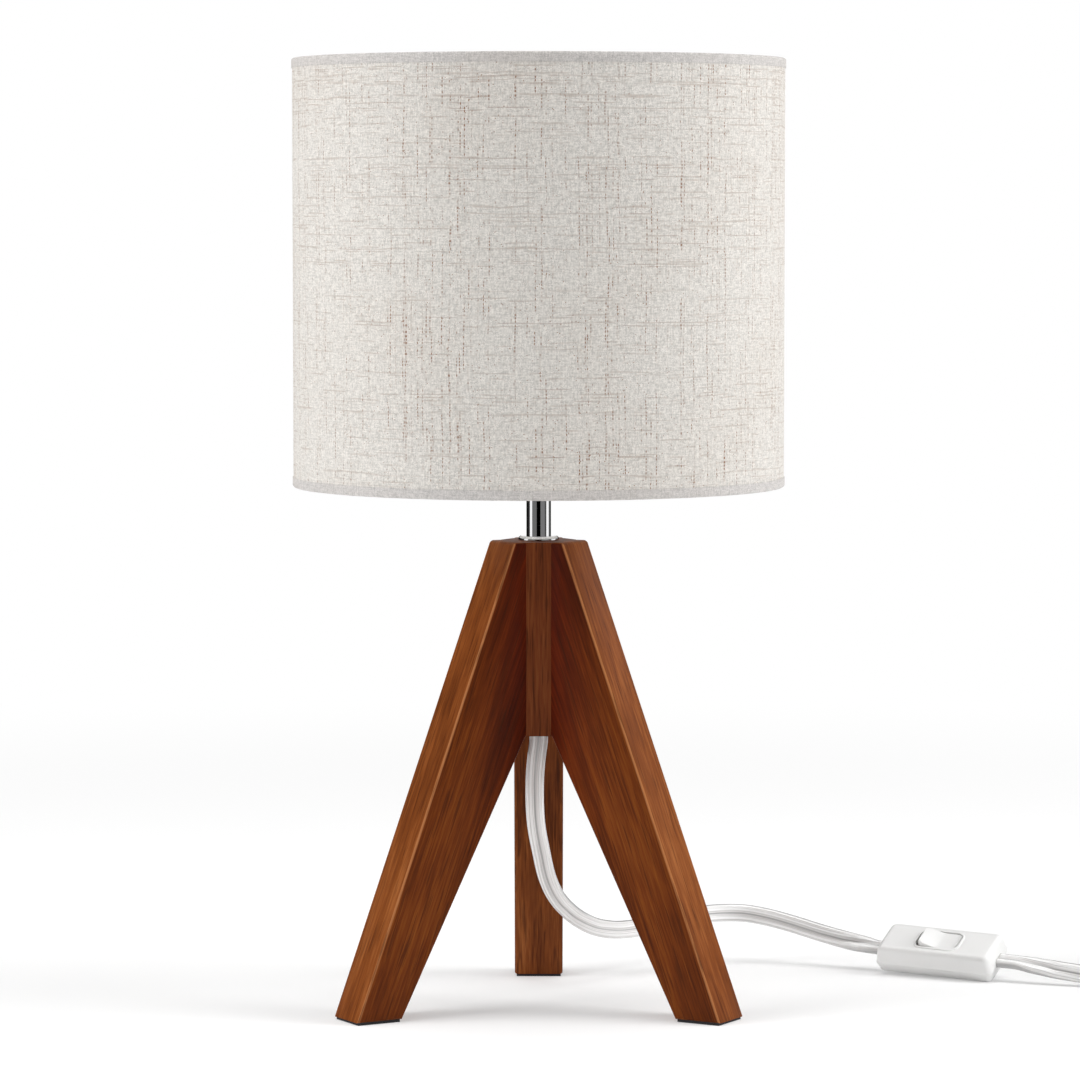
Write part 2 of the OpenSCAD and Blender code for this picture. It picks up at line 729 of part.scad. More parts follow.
module bulb_globe() {
    centre = bulb_top - bulb_r;
    start = asin((globe_low - centre) / bulb_r);
    color(white) rotate_extrude() polygon(concat(
        [for (a = [start:(90 - start) / 14:90.01])
            [max(0, bulb_r * cos(a)), centre + bulb_r * sin(a) + seat]],
        [for (a = [90:-(90 - start) / 14:start - 0.01])
            [max(0, (bulb_r - bulb_wall) * cos(a)), centre + (bulb_r - bulb_wall) * sin(a) + seat]]));
}

// The board stands on the driver, which stands on the housing's floor
module led_board() {
    board_r = globe_edge_r() - bulb_wall - 1.2;
    board_t = 1.6;
    color(white) translate([0, 0, globe_low - 4]) {
        cylinder(r = board_r, h = board_t);
        for (i = [0:7]) rotate([0, 0, i * 45]) translate([board_r * 0.7, 0, board_t + 0.4])
            cube([3, 3, 0.9], center = true);
    }
    color(white) translate([0, 0, driver_low])
        cylinder(r = 6, h = globe_low - 4 - driver_low + weld);
}

// Inline switch, drawn level in its own frame: X along it, +Z towards the rocker

module at_switch() {
    translate(sw_centre) rotate([0, sw_pitch, sw_heading]) rotate([sw_roll, 0, 0]) children();
}

screw_places = [[-20, 6.3], [20, -6.3]];
cavity_l = sw_l - 4 * sw_wall;
cavity_w = 2 * (ear_y + ear_t) + 0.2;

module cord_way() {
    rotate([90, 0, 90]) translate([0, 0, -sw_l]) linear_extrude(2 * sw_l)
        stadium(cord_w + 2 * fit, cord_t + 2 * fit);
}

module switch_cover() {
    r = 2;
    top_l = sw_l - 2 * sw_draft;
    top_w = sw_w - 2 * sw_draft;
    lip_w = 0.9;
    lip_h = 0.35;
    well_r = 3.6;
    color(white) at_switch() difference() {
        union() {
            difference() {
                hull() {
                    linear_extrude(0.1) round_plate(sw_l, sw_w, 3);
                    for (x = [-1, 1], y = [-1, 1])
                        translate([x * (top_l / 2 - r), y * (top_w / 2 - r), sw_up - r])
                            sphere(r = r, $fn = 24);
                }
                translate([-cavity_l / 2, -cavity_w / 2, -1])
                    cube([cavity_l, cavity_w, sw_up - sw_wall + 1]);
            }
            translate([0, 0, sw_up - 0.5]) linear_extrude(0.5 + lip_h)
                round_plate(well_l + 2 * lip_w, well_w + 2 * lip_w, well_r + lip_w);
            for (side = [-1, 1])
                translate([-3, side > 0 ? ear_y : -ear_y - ear_t, rocker_pivot - 2.4])
                    cube([6, ear_t, sw_up - sw_wall - rocker_pivot + 2.4 + weld]);
            for (p = screw_places) translate([p[0], p[1], seat])
                cylinder(r = 1.9, h = sw_up - sw_wall);
        }
        translate([0, 0, -1]) linear_extrude(sw_up + 4) round_plate(well_l, well_w, well_r);
        translate([0, 0, rocker_pivot]) rotate([90, 0, 0])
            cylinder(r = rocker_pin_r + rocker_pin_gap, h = sw_w - 4, center = true);
        cord_way();
        for (p = screw_places) translate([p[0], p[1], -1])
            cylinder(r = 1.1, h = 4);
    }
}

module switch_base() {
    floor_z = -4.6;
    sink = 2.6;
    color(white) at_switch() difference() {
        union() {
            difference() {
                hull() {
                    translate([0, 0, -0.1]) linear_extrude(0.1 - seat)
                        round_plate(sw_l, sw_w, 3);
                    translate([0, 0, sw_facet_rise - sw_down]) linear_extrude(0.1)
                        round_plate(sw_l - 2 * sw_draft, 2 * sw_facet_x, 2.6);
                    translate([0, 0, -sw_down]) linear_extrude(0.1)
                        square([sw_l - 2 * sw_draft - 2, sw_sole], center = true);
                }
                translate([-cavity_l / 2, -cavity_w / 2, floor_z])
                    cube([cavity_l, cavity_w, -floor_z + 1]);
            }
            for (p = screw_places) translate([p[0], p[1], floor_z - weld])
                cylinder(r = 1.9, h = -floor_z - seat);
        }
        cord_way();
        for (p = screw_places) translate([p[0], p[1], -sw_down - 1]) {
            cylinder(r = 1.1, h = sw_down + 2);
            cylinder(r = 1.8, h = sink + 1);
        }
    }
}

module switch_screws() {
    head = 1.4;
    low = -sw_down + 2.6 - head;
    color(steel) at_switch() for (p = screw_places) translate([p[0], p[1], low - seat]) {
        cylinder(r = 1.7, h = head);
        cylinder(r = 1, h = head + 6);
    }
}

module switch_rocker() {
    half = rocker_l / 2;
    top = [for (k = [-1:0.125:1])
        [half * k, rocker_dip_z + (rocker_end_z - rocker_dip_z) * pow(abs(k), 1.4)]];
    color(white) at_switch() translate([0, 0, rocker_pivot]) rotate([0, rocker_tilt, 0]) {
        intersection() {
            rotate([90, 0, 0]) linear_extrude(rocker_w + 2, center = true)
                polygon(concat(top, [[half, 0.8], [half * 0.55, -rocker_skirt],
                                     [-half * 0.55, -rocker_skirt], [-half, 0.8]]));
            translate([0, 0, -10]) linear_extrude(30) round_plate(rocker_l, rocker_w, 4);
            rotate([90, 0, 0]) cylinder(r = rocker_end_r, h = rocker_w + 2, center = true, $fn = 96);
        }
        rotate([90, 0, 0]) cylinder(r = rocker_pin_r, h = 2 * (ear_y + ear_t) - 0.4,
                                    center = true);
    }
}

// Two fixed blades and the bridge between them
module switch_contacts() {
    blade = 0.8;
    color(brass) at_switch() {
        for (side = [-1, 1]) translate([side * 10 - blade / 2, -2.5, -4.6 + seat])
            cube([blade, 5, 3.6]);
        translate([-9, -7.4, -4.6 + seat]) cube([18, blade, 4]);
    }
}

// Ends of the cord inside the housing, with their bared cores
module switch_leads() {
    held = 8;
    color(clear) at_switch() for (side = [-1, 1]) {
        translate([side > 0 ? sw_l / 2 - held : -sw_l / 2, 0, 0]) rotate([90, 0, 90])
            linear_extrude(held) stadium(cord_w, cord_t);
        translate([side > 0 ? 11 : -sw_l / 2 + held - weld, 0, 0])
            for (y = [-1, 1]) translate([0, y * cord_t / 2, 0]) rotate([0, 90, 0])
                cylinder(r = 0.8, h = sw_l / 2 - held - 11 + weld);
    }
}

// Cord

module cord_upper() {
    color(clear) cord_run(upper_route);
}

module cord_lower() {
    color(clear) cord_run(lower_route);
}

module cord_coil() {
    rings = coil_rings();
    echo(coil_least_gap = least_gap(rings));
    color(clear) tube(rings);
}

module cord_tail() {
    color(clear) cord_run(tail_route);
}

module cord_tie() {
    wound = tie_angle - coil_start;
    near = coil_radius(wound + 360 * (coil_turns - 1)) - cord_t / 2 - tie_side_gap;
    far = coil_radius(wound + 360 * (2 * coil_turns - 1)) + cord_t / 2 + tie_side_gap;
    high = coil_layer + cord_w + 2 * tie_gap;
    color(black) translate([coil_centre[0], coil_centre[1], coil_z + coil_layer / 2])
        rotate([0, 0, tie_angle]) translate([(near + far) / 2, 0, 0]) rotate([90, 0, 0])
            linear_extrude(tie_w, center = true) difference() {
                round_plate(far - near + 2 * tie_t, high + 2 * tie_t, 1.2);
                round_plate(far - near, high, 0.7);
            }
}

module at_plug(along_y) {
    translate([tail_x, plug_y + along_y, plug_z]) rotate([-90, 0, 0]) children();
}

module plug_relief() {
    ribs = 6;
    step = relief_l / ribs;
    color(white) at_plug(0) rotate_extrude() polygon(concat(
        [[0, 0]],
        [for (i = [0:ribs - 1]) let (r = 4.4 + 0.3 * i) each [
            [r, i * step], [r, (i + 0.6) * step], [r - 0.7, (i + 0.7) * step],
            [r - 0.7, (i + 0.9) * step]]],
        [[5.4, relief_l], [0, relief_l]]));
}

module plug_body() {
    color(white) at_plug(relief_l + seat) hull() {
        linear_extrude(0.1) stadium(15, 11.6);
        translate([0, 0, plug_l * 0.55]) linear_extrude(0.1) stadium(plug_w - 3, plug_t);
        translate([0, 0, plug_l - 2.1]) linear_extrude(0.1) stadium(plug_w, plug_t);
        translate([0, 0, plug_l - 0.1]) linear_extrude(0.1) stadium(plug_w - 2.4, plug_t - 2.4);
    }
}

module plug_pins() {
    color(brass) for (side = [-1, 1]) at_plug(relief_l + plug_l + 2 * seat)
        translate([side * pin_pitch / 2, 0, 0]) {
            cylinder(d = pin_d, h = pin_l - 1);
            translate([0, 0, pin_l - 1 - weld]) cylinder(d1 = pin_d, d2 = pin_d - 1.4, h = 1);
        }
}

leg_left();
leg_right();
leg_back();
centre_block();
leg_dowels();
foot_pad_left();
foot_pad_right();
foot_pad_back();
flange_nut();
stem_pipe();
pocket_washer();
pocket_nut();
pipe_bushing();
stem_cord();
holder_cap();
holder_skirt();
holder_insert();
screw_shell();
centre_contact();
terminal_screws();
clamp_ring();
shade_fabric();
shade_lining();
hem_top();
hem_bottom();
shade_seam();
top_wire_ring();
bottom_wire_ring();
frame_arms();
frame_plate();
bulb_cap();
bulb_tip();
bulb_housing();
bulb_globe();
led_board();
switch_cover();
switch_base();
switch_rocker();
switch_contacts();
switch_screws();
switch_leads();
cord_upper();
cord_lower();
cord_coil();
cord_tail();
cord_tie();
plug_body();
plug_relief();
plug_pins();
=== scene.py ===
# %% [markdown]
# # A tripod table lamp
#
# Three walnut-brown boards are glued round a small block, a chromed pipe stands in it, and a drum
# of slubbed linen is clamped on the lamp holder. A flat clear cord runs out under the block, past
# the back leg, through a rocker switch and into a coil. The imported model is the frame: it says
# where everything is, in metres, and each piece made here is laid over it.

# %% Load the frame
import json
import math

import bpy
from mathutils import Matrix, Vector

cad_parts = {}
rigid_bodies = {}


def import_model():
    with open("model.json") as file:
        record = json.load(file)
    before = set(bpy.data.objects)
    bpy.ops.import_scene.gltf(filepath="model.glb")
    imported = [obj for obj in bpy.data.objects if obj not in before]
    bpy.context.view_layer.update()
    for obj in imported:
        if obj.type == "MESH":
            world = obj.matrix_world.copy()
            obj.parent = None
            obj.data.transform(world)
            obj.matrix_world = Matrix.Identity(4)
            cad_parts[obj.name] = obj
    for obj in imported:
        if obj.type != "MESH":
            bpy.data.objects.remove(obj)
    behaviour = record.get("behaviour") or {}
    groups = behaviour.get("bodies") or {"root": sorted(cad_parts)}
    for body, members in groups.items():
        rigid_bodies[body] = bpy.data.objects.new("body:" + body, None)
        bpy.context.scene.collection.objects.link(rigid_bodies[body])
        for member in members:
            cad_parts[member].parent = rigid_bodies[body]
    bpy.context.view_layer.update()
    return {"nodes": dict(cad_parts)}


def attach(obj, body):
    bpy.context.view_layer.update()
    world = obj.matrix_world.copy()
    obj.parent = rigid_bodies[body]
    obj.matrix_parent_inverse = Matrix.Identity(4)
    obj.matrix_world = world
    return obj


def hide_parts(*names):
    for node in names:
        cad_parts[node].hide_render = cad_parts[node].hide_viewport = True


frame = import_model()

MM = 0.001


# %% [markdown]
# ## Working as by hand
#
# An operator acts on whatever is selected, so each step first deselects everything and then picks
# vertices or edges by their place. These few helpers do that, and they end with a mesh whose object
# sits at the origin, so that patterns on Object coordinates stay where they are.

# %% Helpers for modelling
def take(piece):
    """Makes piece the only selected object, and the active one."""
    for other in bpy.context.view_layer.objects:
        other.select_set(False)
    piece.select_set(True)
    bpy.context.view_layer.objects.active = piece


def settle(piece):
    """Moves an object's place, turn and scale into its mesh."""
    take(piece)
    bpy.ops.object.transform_apply(location=True, rotation=True, scale=True)
    return piece


def start(name):
    """Names the primitive that was just added, and settles it."""
    piece = bpy.context.active_object
    piece.name = piece.data.name = name
    return settle(piece)


def pick(piece, kind, test):
    """Selects the vertices, edges or faces of piece that pass test, and nothing else."""
    mesh = piece.data
    for items in (mesh.vertices, mesh.edges, mesh.polygons):
        items.foreach_set("select", [False] * len(items))
    order = ("VERT", "EDGE", "FACE")
    bpy.context.tool_settings.mesh_select_mode = [kind == word for word in order]
    place = [v.co for v in mesh.vertices]
    if kind == "VERT":
        chosen = [v for v in mesh.vertices if test(v.co)]
    elif kind == "EDGE":
        chosen = [e for e in mesh.edges if test(place[e.vertices[0]], place[e.vertices[1]])]
    else:
        chosen = [f for f in mesh.polygons if test(f.center, f.normal)]
    for item in chosen:
        item.select = True


def edit(piece, operator, **settings):
    """Runs one edit-mode operator on what is selected in piece."""
    take(piece)
    bpy.ops.object.mode_set(mode="EDIT")
    operator(**settings)
    bpy.ops.object.mode_set(mode="OBJECT")


def everywhere(piece):
    """Selects all of piece."""
    pick(piece, "VERT", lambda p: True)


def move(piece, test, by):
    """Slides the vertices that pass test."""
    pick(piece, "VERT", test)
    edit(piece, bpy.ops.transform.translate, value=by)


def draw_in(piece, test, by):
    """Scales the vertices that pass test about their middle."""
    pick(piece, "VERT", test)
    edit(piece, bpy.ops.transform.resize, value=by)


def slice_at(piece, place, way):
    """Adds a line of edges round piece, on the plane through place that looks along way."""
    everywhere(piece)
    edit(piece, bpy.ops.mesh.bisect, plane_co=place, plane_no=way)


def ease(piece, test, width, segments=3):
    """Rounds the edges that pass test."""
    pick(piece, "EDGE", test)
    edit(piece, bpy.ops.mesh.bevel, offset=width, segments=segments, affect="EDGES")


def finish_with(piece, kind, **settings):
    """Adds a modifier and applies it."""
    modifier = piece.modifiers.new(kind.lower(), kind)
    for key, value in settings.items():
        setattr(modifier, key, value)
    take(piece)
    bpy.ops.object.modifier_apply(modifier=modifier.name)


def smooth(piece, angle=35):
    take(piece)
    bpy.ops.object.shade_smooth_by_angle(angle=math.radians(angle))
    return piece


def close_up(piece):
    """Merges doubles and turns all faces outwards."""
    everywhere(piece)
    edit(piece, bpy.ops.mesh.remove_doubles, threshold=0.005 * MM)
    everywhere(piece)
    edit(piece, bpy.ops.mesh.normals_make_consistent, inside=False)


def new_piece(name, points, edges=(), faces=()):
    """An object whose mesh has these points, in metres."""
    mesh = bpy.data.meshes.new(name)
    mesh.from_pydata(points, edges, faces)
    piece = bpy.data.objects.new(name, mesh)
    bpy.context.scene.collection.objects.link(piece)
    return piece


def upright_outline(profile):
    """Points of an outline of (radius, height) in millimetres, to be spun."""
    return [(r * MM, 0, z * MM) for r, z in profile]


def turned(name, profile, steps=96, closed=True):
    """A turned piece: an outline of (radius, height), spun about the lamp's axis."""
    count = len(profile)
    edges = [(i, (i + 1) % count) for i in range(count if closed else count - 1)]
    piece = new_piece(name, upright_outline(profile), edges)
    everywhere(piece)
    edit(piece, bpy.ops.mesh.spin, steps=steps, angle=2 * math.pi, center=(0, 0, 0), axis=(0, 0, 1))
    close_up(piece)
    return smooth(piece)


def arc(centre, radius, first, last, steps=8):
    """Points of an arc for an outline; angles in degrees."""
    angles = [math.radians(first + (last - first) * i / steps) for i in range(steps + 1)]
    return [(centre[0] + radius * math.cos(a), centre[1] + radius * math.sin(a)) for a in angles]


# %% [markdown]
# ## The camera
#
# The photograph was taken with a long lens from a little above the table. The place, tilt and lens
# were solved from the outlines of the shade, the stem and the feet.

# %% Camera
CAMERA_AT, CAMERA_TILT, CAMERA_LENS = (0.54, -1926.7, 328.6), 4.091, 158.03
bpy.ops.object.camera_add(
    location=[c * MM for c in CAMERA_AT], rotation=(math.radians(90 - CAMERA_TILT), 0, 0)
)
camera = bpy.context.active_object
camera.name = "camera"
camera.data.sensor_width = 36
camera.data.lens = CAMERA_LENS
bpy.context.scene.camera = camera


# %% [markdown]
# ## The cord
#
# It is a flat two-core lead, 7.6 mm wide and 3.8 mm thick, and so stiff that it bridges the space
# from the block to the switch through the air. It leaves the block straight down, turns back
# between the legs and passes behind the right one, 20 mm above the table: its shadow in the
# photograph tells that height. After the switch it leaves the picture and is wound into a coil of
# two layers, with the plug beside it. The route's points are those of the CAD model, each with the
# way that the cord's wide side looks; a smooth curve goes through them.

# %% Routes of the cord, in millimetres
CORD_W, CORD_T, SEAT = 7.6, 3.8, 0.02
BLOCK_BOTTOM = 112
SWITCH_L, SW_DRAFT, SW_DOWN, SW_SOLE = 53, 1.2, 7, 10
HEADING, PITCH, ROLL = (math.radians(a) for a in (-28, 1.5, 26))
lift = (SW_SOLE / 2 * math.sin(ROLL) + SW_DOWN * math.cos(ROLL)) * math.cos(PITCH)
switch_centre = Vector((171.3, 71, lift + (SWITCH_L / 2 - SW_DRAFT) * math.sin(PITCH)))
switch_turn = (
    Matrix.Rotation(HEADING, 3, "Z")
    @ Matrix.Rotation(PITCH, 3, "Y")
    @ Matrix.Rotation(ROLL, 3, "X")
)
switch_axis = switch_turn @ Vector((1, 0, 0))
switch_wide = switch_turn @ Vector((0, 1, 0))
switch_left = switch_centre - switch_axis * SWITCH_L / 2
switch_right = switch_centre + switch_axis * SWITCH_L / 2

UP = (0, 0, 1)
upper_route = [
    ((0, 0, BLOCK_BOTTOM - 2 * SEAT), (1, 0, 0)),
    ((0, 0, 108.5), (1, 0, 0)),
    ((-0.8, 0.5, 102.5), (1, 0, 0)),
    ((-1.5, 3, 94), (1, 0, 0)),
    ((-1.6, 9, 82), (1, 0.1, 0)),
    ((-0.9, 17, 71), (1, 0.1, 0.1)),
    ((1, 26, 59.5), (1, 0, 0.2)),
    ((3.5, 34.5, 47.5), (1, -0.2, 0.4)),
    ((7.5, 42, 37.9), (1, -0.4, 0.7)),
    ((14, 50.5, 29.7), (0.8, -0.5, 1)),
    ((22, 58, 23.7), (0.5, -0.4, 1.5)),
    ((30.5, 65.8, 20.6), (0.2, -0.2, 2)),
    ((40, 75, 19.6), UP),
    ((50, 84.8, 19.9), UP),
    ((60.5, 94.8, 20.8), UP),
    ((70.5, 103.6, 21.3), UP),
    ((80, 109.8, 21.1), UP),
    ((89.5, 111.6, 20.6), UP),
    ((99.5, 108.9, 19.2), UP),
    ((110, 104, 17), UP),
    ((120.5, 98.6, 14.4), UP),
    ((129.5, 93.8, 12.4), (0.1, 0.1, 1)),
    ((136, 90.2, 11.2), (0.25, 0.35, 0.9)),
    ((141, 87.3, 10.5), (0.38, 0.6, 0.65)),
    (switch_left - switch_axis * 4, switch_wide),
    (switch_left - switch_axis * 2 * SEAT, switch_wide),
]

COIL_CENTRE, COIL_Z, COIL_START = (292, 58), 4.7, -130
COIL_IN, COIL_CLIMB, COIL_END = 720, 180, 1570
COIL_R, COIL_PITCH, COIL_DIP, COIL_LAYER = 46, 4.5, 2.4, 8.5
COIL_INNER_R = COIL_R - COIL_PITCH * COIL_IN / 360


def coil_point(wound):
    """Place of the coil's middle line after wound degrees: two turns in, a climb, two turns out."""
    if wound < COIL_IN:
        radius = COIL_R - COIL_PITCH * wound / 360
    elif wound < COIL_IN + COIL_CLIMB:
        radius = COIL_INNER_R - COIL_DIP * math.sin(math.radians(wound - COIL_IN))
    else:
        radius = COIL_INNER_R + COIL_PITCH * (wound - COIL_IN - COIL_CLIMB) / 360
    climbed = min(1, max(0, (wound - COIL_IN) / COIL_CLIMB))
    angle = math.radians(COIL_START + wound)
    height = COIL_Z + COIL_LAYER * (1 - math.cos(math.pi * climbed)) / 2
    x, y = COIL_CENTRE[0] + radius * math.cos(angle), COIL_CENTRE[1] + radius * math.sin(angle)
    return Vector((x, y, height))


def coil_heading(wound):
    angle = math.radians(COIL_START + wound)
    return Vector((-math.sin(angle), math.cos(angle), 0))


lower_route = [
    (switch_right + switch_axis * 2 * SEAT, switch_wide),
    (switch_right + switch_axis * 8, switch_wide),
    ((210.3, 50.8, 7.2), (0.35, 0.6, 0.8)),
    ((219.5, 46.6, 6.1), (0.15, 0.3, 1)),
    ((229.5, 42.8, 5.2), (0, 0.1, 1)),
    ((239.5, 39.2, 4.8), UP),
    (coil_point(0) - coil_heading(0) * (CORD_W + 10), UP),
    (coil_point(0) - coil_heading(0) * CORD_W, UP),
]
coil_route = [(coil_point(a), UP) for a in range(0, COIL_END + 1, 10)]
tail_x, tail_z = coil_point(COIL_END)[0], COIL_Z + COIL_LAYER
PLUG_Y, PLUG_Z = 122, 7
tail_route = [
    ((tail_x, COIL_CENTRE[1] + CORD_W, tail_z), UP),
    ((tail_x, 78, tail_z), UP),
    ((tail_x, 90, 11), (0.3, 0, 1)),
    ((tail_x, 101, 9), (1, 0, 1)),
    ((tail_x, 112, PLUG_Z), (1, 0, 0)),
    ((tail_x, PLUG_Y - 2 * SEAT, PLUG_Z), (1, 0, 0)),
]


# %% [markdown]
# A lead like this is not a plain tube. Its outline is two round sheaths side by side with a groove
# between them, so the tube is built ring by ring: the ring is drawn square to the curve, with its
# wide side turned as the route says. The UV map holds the way along the cord, in metres, and the
# way across it, from 0 to 1, and the finish reads both.

# %% Build the cord from its routes
CORD_SIDES = 32
WEB_HALF, WEB_RISE = 1.25, 0.25


def curve_through(route, step):
    """Points and wide-side directions about step millimetres apart on a curve through the route."""
    points = [Vector(p) for p, _ in route]
    sides = [Vector(w) for _, w in route]
    fine = []
    for i in range(len(points) - 1):
        before, after = points[max(i - 1, 0)], points[min(i + 2, len(points) - 1)]
        a, b = points[i], points[i + 1]
        length = (b - a).length
        reach_a = length / max((a - before).length + length, 1e-6)
        reach_b = length / max((after - b).length + length, 1e-6)
        way_a, way_b = (b - before) * reach_a, (after - a) * reach_b
        if i == 0:
            way_a = b - a
        if i == len(points) - 2:
            way_b = b - a
        count = max(1, round(length / step))
        for k in range(count):
            t = k / count
            at = (
                a * (2 * t**3 - 3 * t**2 + 1)
                + way_a * (t**3 - 2 * t**2 + t)
                + b * (3 * t**2 - 2 * t**3)
                + way_b * (t**3 - t**2)
            )
            blend = t * t * (3 - 2 * t)
            fine.append((at, sides[i].lerp(sides[i + 1], blend)))
    fine.append((points[-1], sides[-1]))
    return fine


def cord_outline():
    """Points round the cord: two round sheaths, joined by a thinner web."""
    outline = []
    radius, core = CORD_T / 2, CORD_W / 2 - CORD_T / 2
    for k in range(CORD_SIDES):
        turn = 2 * math.pi * k / CORD_SIDES
        across = math.cos(turn) * CORD_W / 2
        off = abs(across) - core
        through = math.sqrt(max(radius**2 - off**2, 0))
        if abs(across) < core:
            through = max(through, WEB_HALF + WEB_RISE * abs(across) / core)
        on_rim = k % (CORD_SIDES // 2) == 0
        outline.append((across, 0 if on_rim else math.copysign(through, math.sin(turn))))
    return outline


def flat_cord(name, route, step=2.0):
    """A closed tube along the route, the points that it follows and its length, in metres."""
    line = curve_through(route, step)
    outline = cord_outline()
    rings, along, path = [], [0.0], []
    for i, (at, wide) in enumerate(line):
        way = (line[min(i + 1, len(line) - 1)][0] - line[max(i - 1, 0)][0]).normalized()
        through = way.cross(wide).normalized()
        across = through.cross(way)
        rings += [(at + across * a + through * t) * MM for a, t in outline]
        path.append(at * MM)
        if i:
            along.append(along[-1] + (path[i] - path[i - 1]).length)
    n, last = CORD_SIDES, len(line) - 1
    faces = [
        (i * n + k, i * n + (k + 1) % n, (i + 1) * n + (k + 1) % n, (i + 1) * n + k)
        for i in range(last)
        for k in range(n)
    ]
    faces += [tuple(range(n))[::-1], tuple(range(last * n, last * n + n))]
    piece = new_piece(name, rings, faces=faces)
    uv = piece.data.uv_layers.new(name="along_across")
    for loop in piece.data.loops:
        ring, k = divmod(loop.vertex_index, n)
        uv.data[loop.index].uv = (along[ring], 0.5 + outline[k][0] / CORD_W)
    everywhere(piece)
    edit(piece, bpy.ops.mesh.normals_make_consistent, inside=False)
    smooth(piece, 60)
    print(name, "is", round(along[-1], 4), "m long")
    return piece, path, along[-1]


cord_to_switch, upper_path, upper_length = flat_cord("cord_to_switch", upper_route)
cord_to_plug, lower_path, lower_length = flat_cord(
    "cord_to_plug", lower_route + coil_route + tail_route
)


# %% [markdown]
# ## Finishes
#
# A finish is a small program of nodes. One class holds a tree of nodes, with a single method that
# adds any node, and another wraps a socket so that numbers on the surface can be added and
# multiplied as in plain Python. A finish is a tree that belongs to a material. Whatever varies goes
# to the colour, the roughness, the metal or a bump.

# %% Classes for shaders
class Wire:
    """A socket's value; arithmetic on it adds Math nodes."""

    def __init__(self, nodes, socket):
        self.nodes, self.socket = nodes, socket

    def do(self, operation, *others):
        sockets = dict(enumerate((self, *others)))
        return self.nodes.node("ShaderNodeMath", {"operation": operation}, sockets)

    def __add__(self, other):
        return self.do("ADD", other)

    def __mul__(self, other):
        return self.do("MULTIPLY", other)

    def __sub__(self, other):
        return self.do("SUBTRACT", other)

    def __truediv__(self, other):
        return self.do("DIVIDE", other)

    def __rsub__(self, other):
        return (self * -1.0) + other

    __radd__, __rmul__ = __add__, __mul__

    def clamp(self, low, high):
        """0 below low, 1 above high, and a soft step between them."""
        settings = {"interpolation_type": "SMOOTHSTEP"}
        return self.nodes.node("ShaderNodeMapRange", settings, {0: self, 1: low, 2: high})


class Nodes:
    """A tree of shader nodes."""

    def __init__(self, tree):
        self.tree = tree

    def node(self, kind, settings=None, sockets=None, out=0):
        """Adds a node: its settings first, then its sockets, each a value or a Wire."""
        node = self.tree.nodes.new(kind)
        for key, value in (settings or {}).items():
            if key == "stops":
                ramp = node.color_ramp
                while len(ramp.elements) < len(value):
                    ramp.elements.new(0.5)
                for element, (place, colour) in zip(ramp.elements, value):
                    element.position, element.color = place, (*colour, 1)
            else:
                setattr(node, key, value)
        for key, value in (sockets or {}).items():
            self.plug(node.inputs[key], value)
        return Wire(self, node.outputs[out])

    def plug(self, socket, value):
        if isinstance(value, Wire):
            self.tree.links.new(value.socket, socket)
        elif socket.type == "RGBA" and len(value) == 3:
            socket.default_value = (*value, 1)
        else:
            socket.default_value = value

    def show(self, surface):
        """Ends the tree with the shader that is seen."""
        output = next(node for node in self.tree.nodes if node.type.startswith("OUTPUT"))
        self.plug(output.inputs["Surface"], surface)


class Finish(Nodes):
    """A material with a Principled shader. Numbers that stay the same are set by name."""

    def __init__(self, name, **fixed):
        self.material = bpy.data.materials.new(name)
        self.material.use_nodes = True
        super().__init__(self.material.node_tree)
        self.shader = self.tree.nodes["Principled BSDF"]
        for key, value in fixed.items():
            self.shader.inputs[key.replace("_", " ")].default_value = value

    def set(self, **varying):
        for key, value in varying.items():
            self.plug(self.shader.inputs[key.replace("_", " ")], value)
        return self.material

    def place(self, turn=(0, 0, 0)):
        """Object coordinates, in metres, turned by degrees."""
        at = self.node("ShaderNodeTexCoord", out="Object")
        if any(turn):
            rotation = [math.radians(t) for t in turn]
            at = self.node("ShaderNodeMapping", sockets={"Vector": at, "Rotation": rotation})
        return at

    def stretch(self, vector, by):
        return self.node("ShaderNodeVectorMath", {"operation": "MULTIPLY"}, {0: vector, 1: by})

    def noise(self, vector, scale=1.0, detail=2.0, roughness=0.5, distortion=0.0):
        sockets = {"Vector": vector, "Scale": scale, "Detail": detail,
                   "Roughness": roughness, "Distortion": distortion}
        return self.node("ShaderNodeTexNoise", {"noise_dimensions": "3D"}, sockets)

    def chance(self, vector):
        """A random number between 0 and 1 for every whole step of vector."""
        return self.node("ShaderNodeTexWhiteNoise", {"noise_dimensions": "3D"}, {"Vector": vector})

    def mix(self, factor, a, b, blend="MIX"):
        """Mixes two colours."""
        settings = {"data_type": "RGBA", "blend_type": blend}
        return self.node("ShaderNodeMix", settings, {0: factor, 6: a, 7: b}, out=2)

    def ramp(self, value, stops):
        return self.node("ShaderNodeValToRGB", {"stops": stops}, {0: value})

    def split(self, vector):
        """The three numbers of a vector."""
        sockets = {"Vector": vector}
        first = self.node("ShaderNodeSeparateXYZ", None, sockets)
        outputs = first.socket.node.outputs
        return [Wire(self, outputs[i]) for i in range(3)]

    def join(self, *numbers):
        return self.node("ShaderNodeCombineXYZ", None, dict(enumerate(numbers)))

    def bump(self, height, depth, strength=1.0):
        """A normal from a height between 0 and 1, that is depth metres deep."""
        sockets = {"Height": height, "Distance": depth, "Strength": strength}
        return self.node("ShaderNodeBump", None, sockets)


def srgb(r, g, b):
    """A colour as a paint program writes it, 0 to 255, as the light that it stands for."""
    return tuple(((c / 255 + 0.055) / 1.055) ** 2.4 for c in (r, g, b))


def times(factor, colour):
    """The same colour with factor times its light."""
    return tuple(factor * c for c in colour)


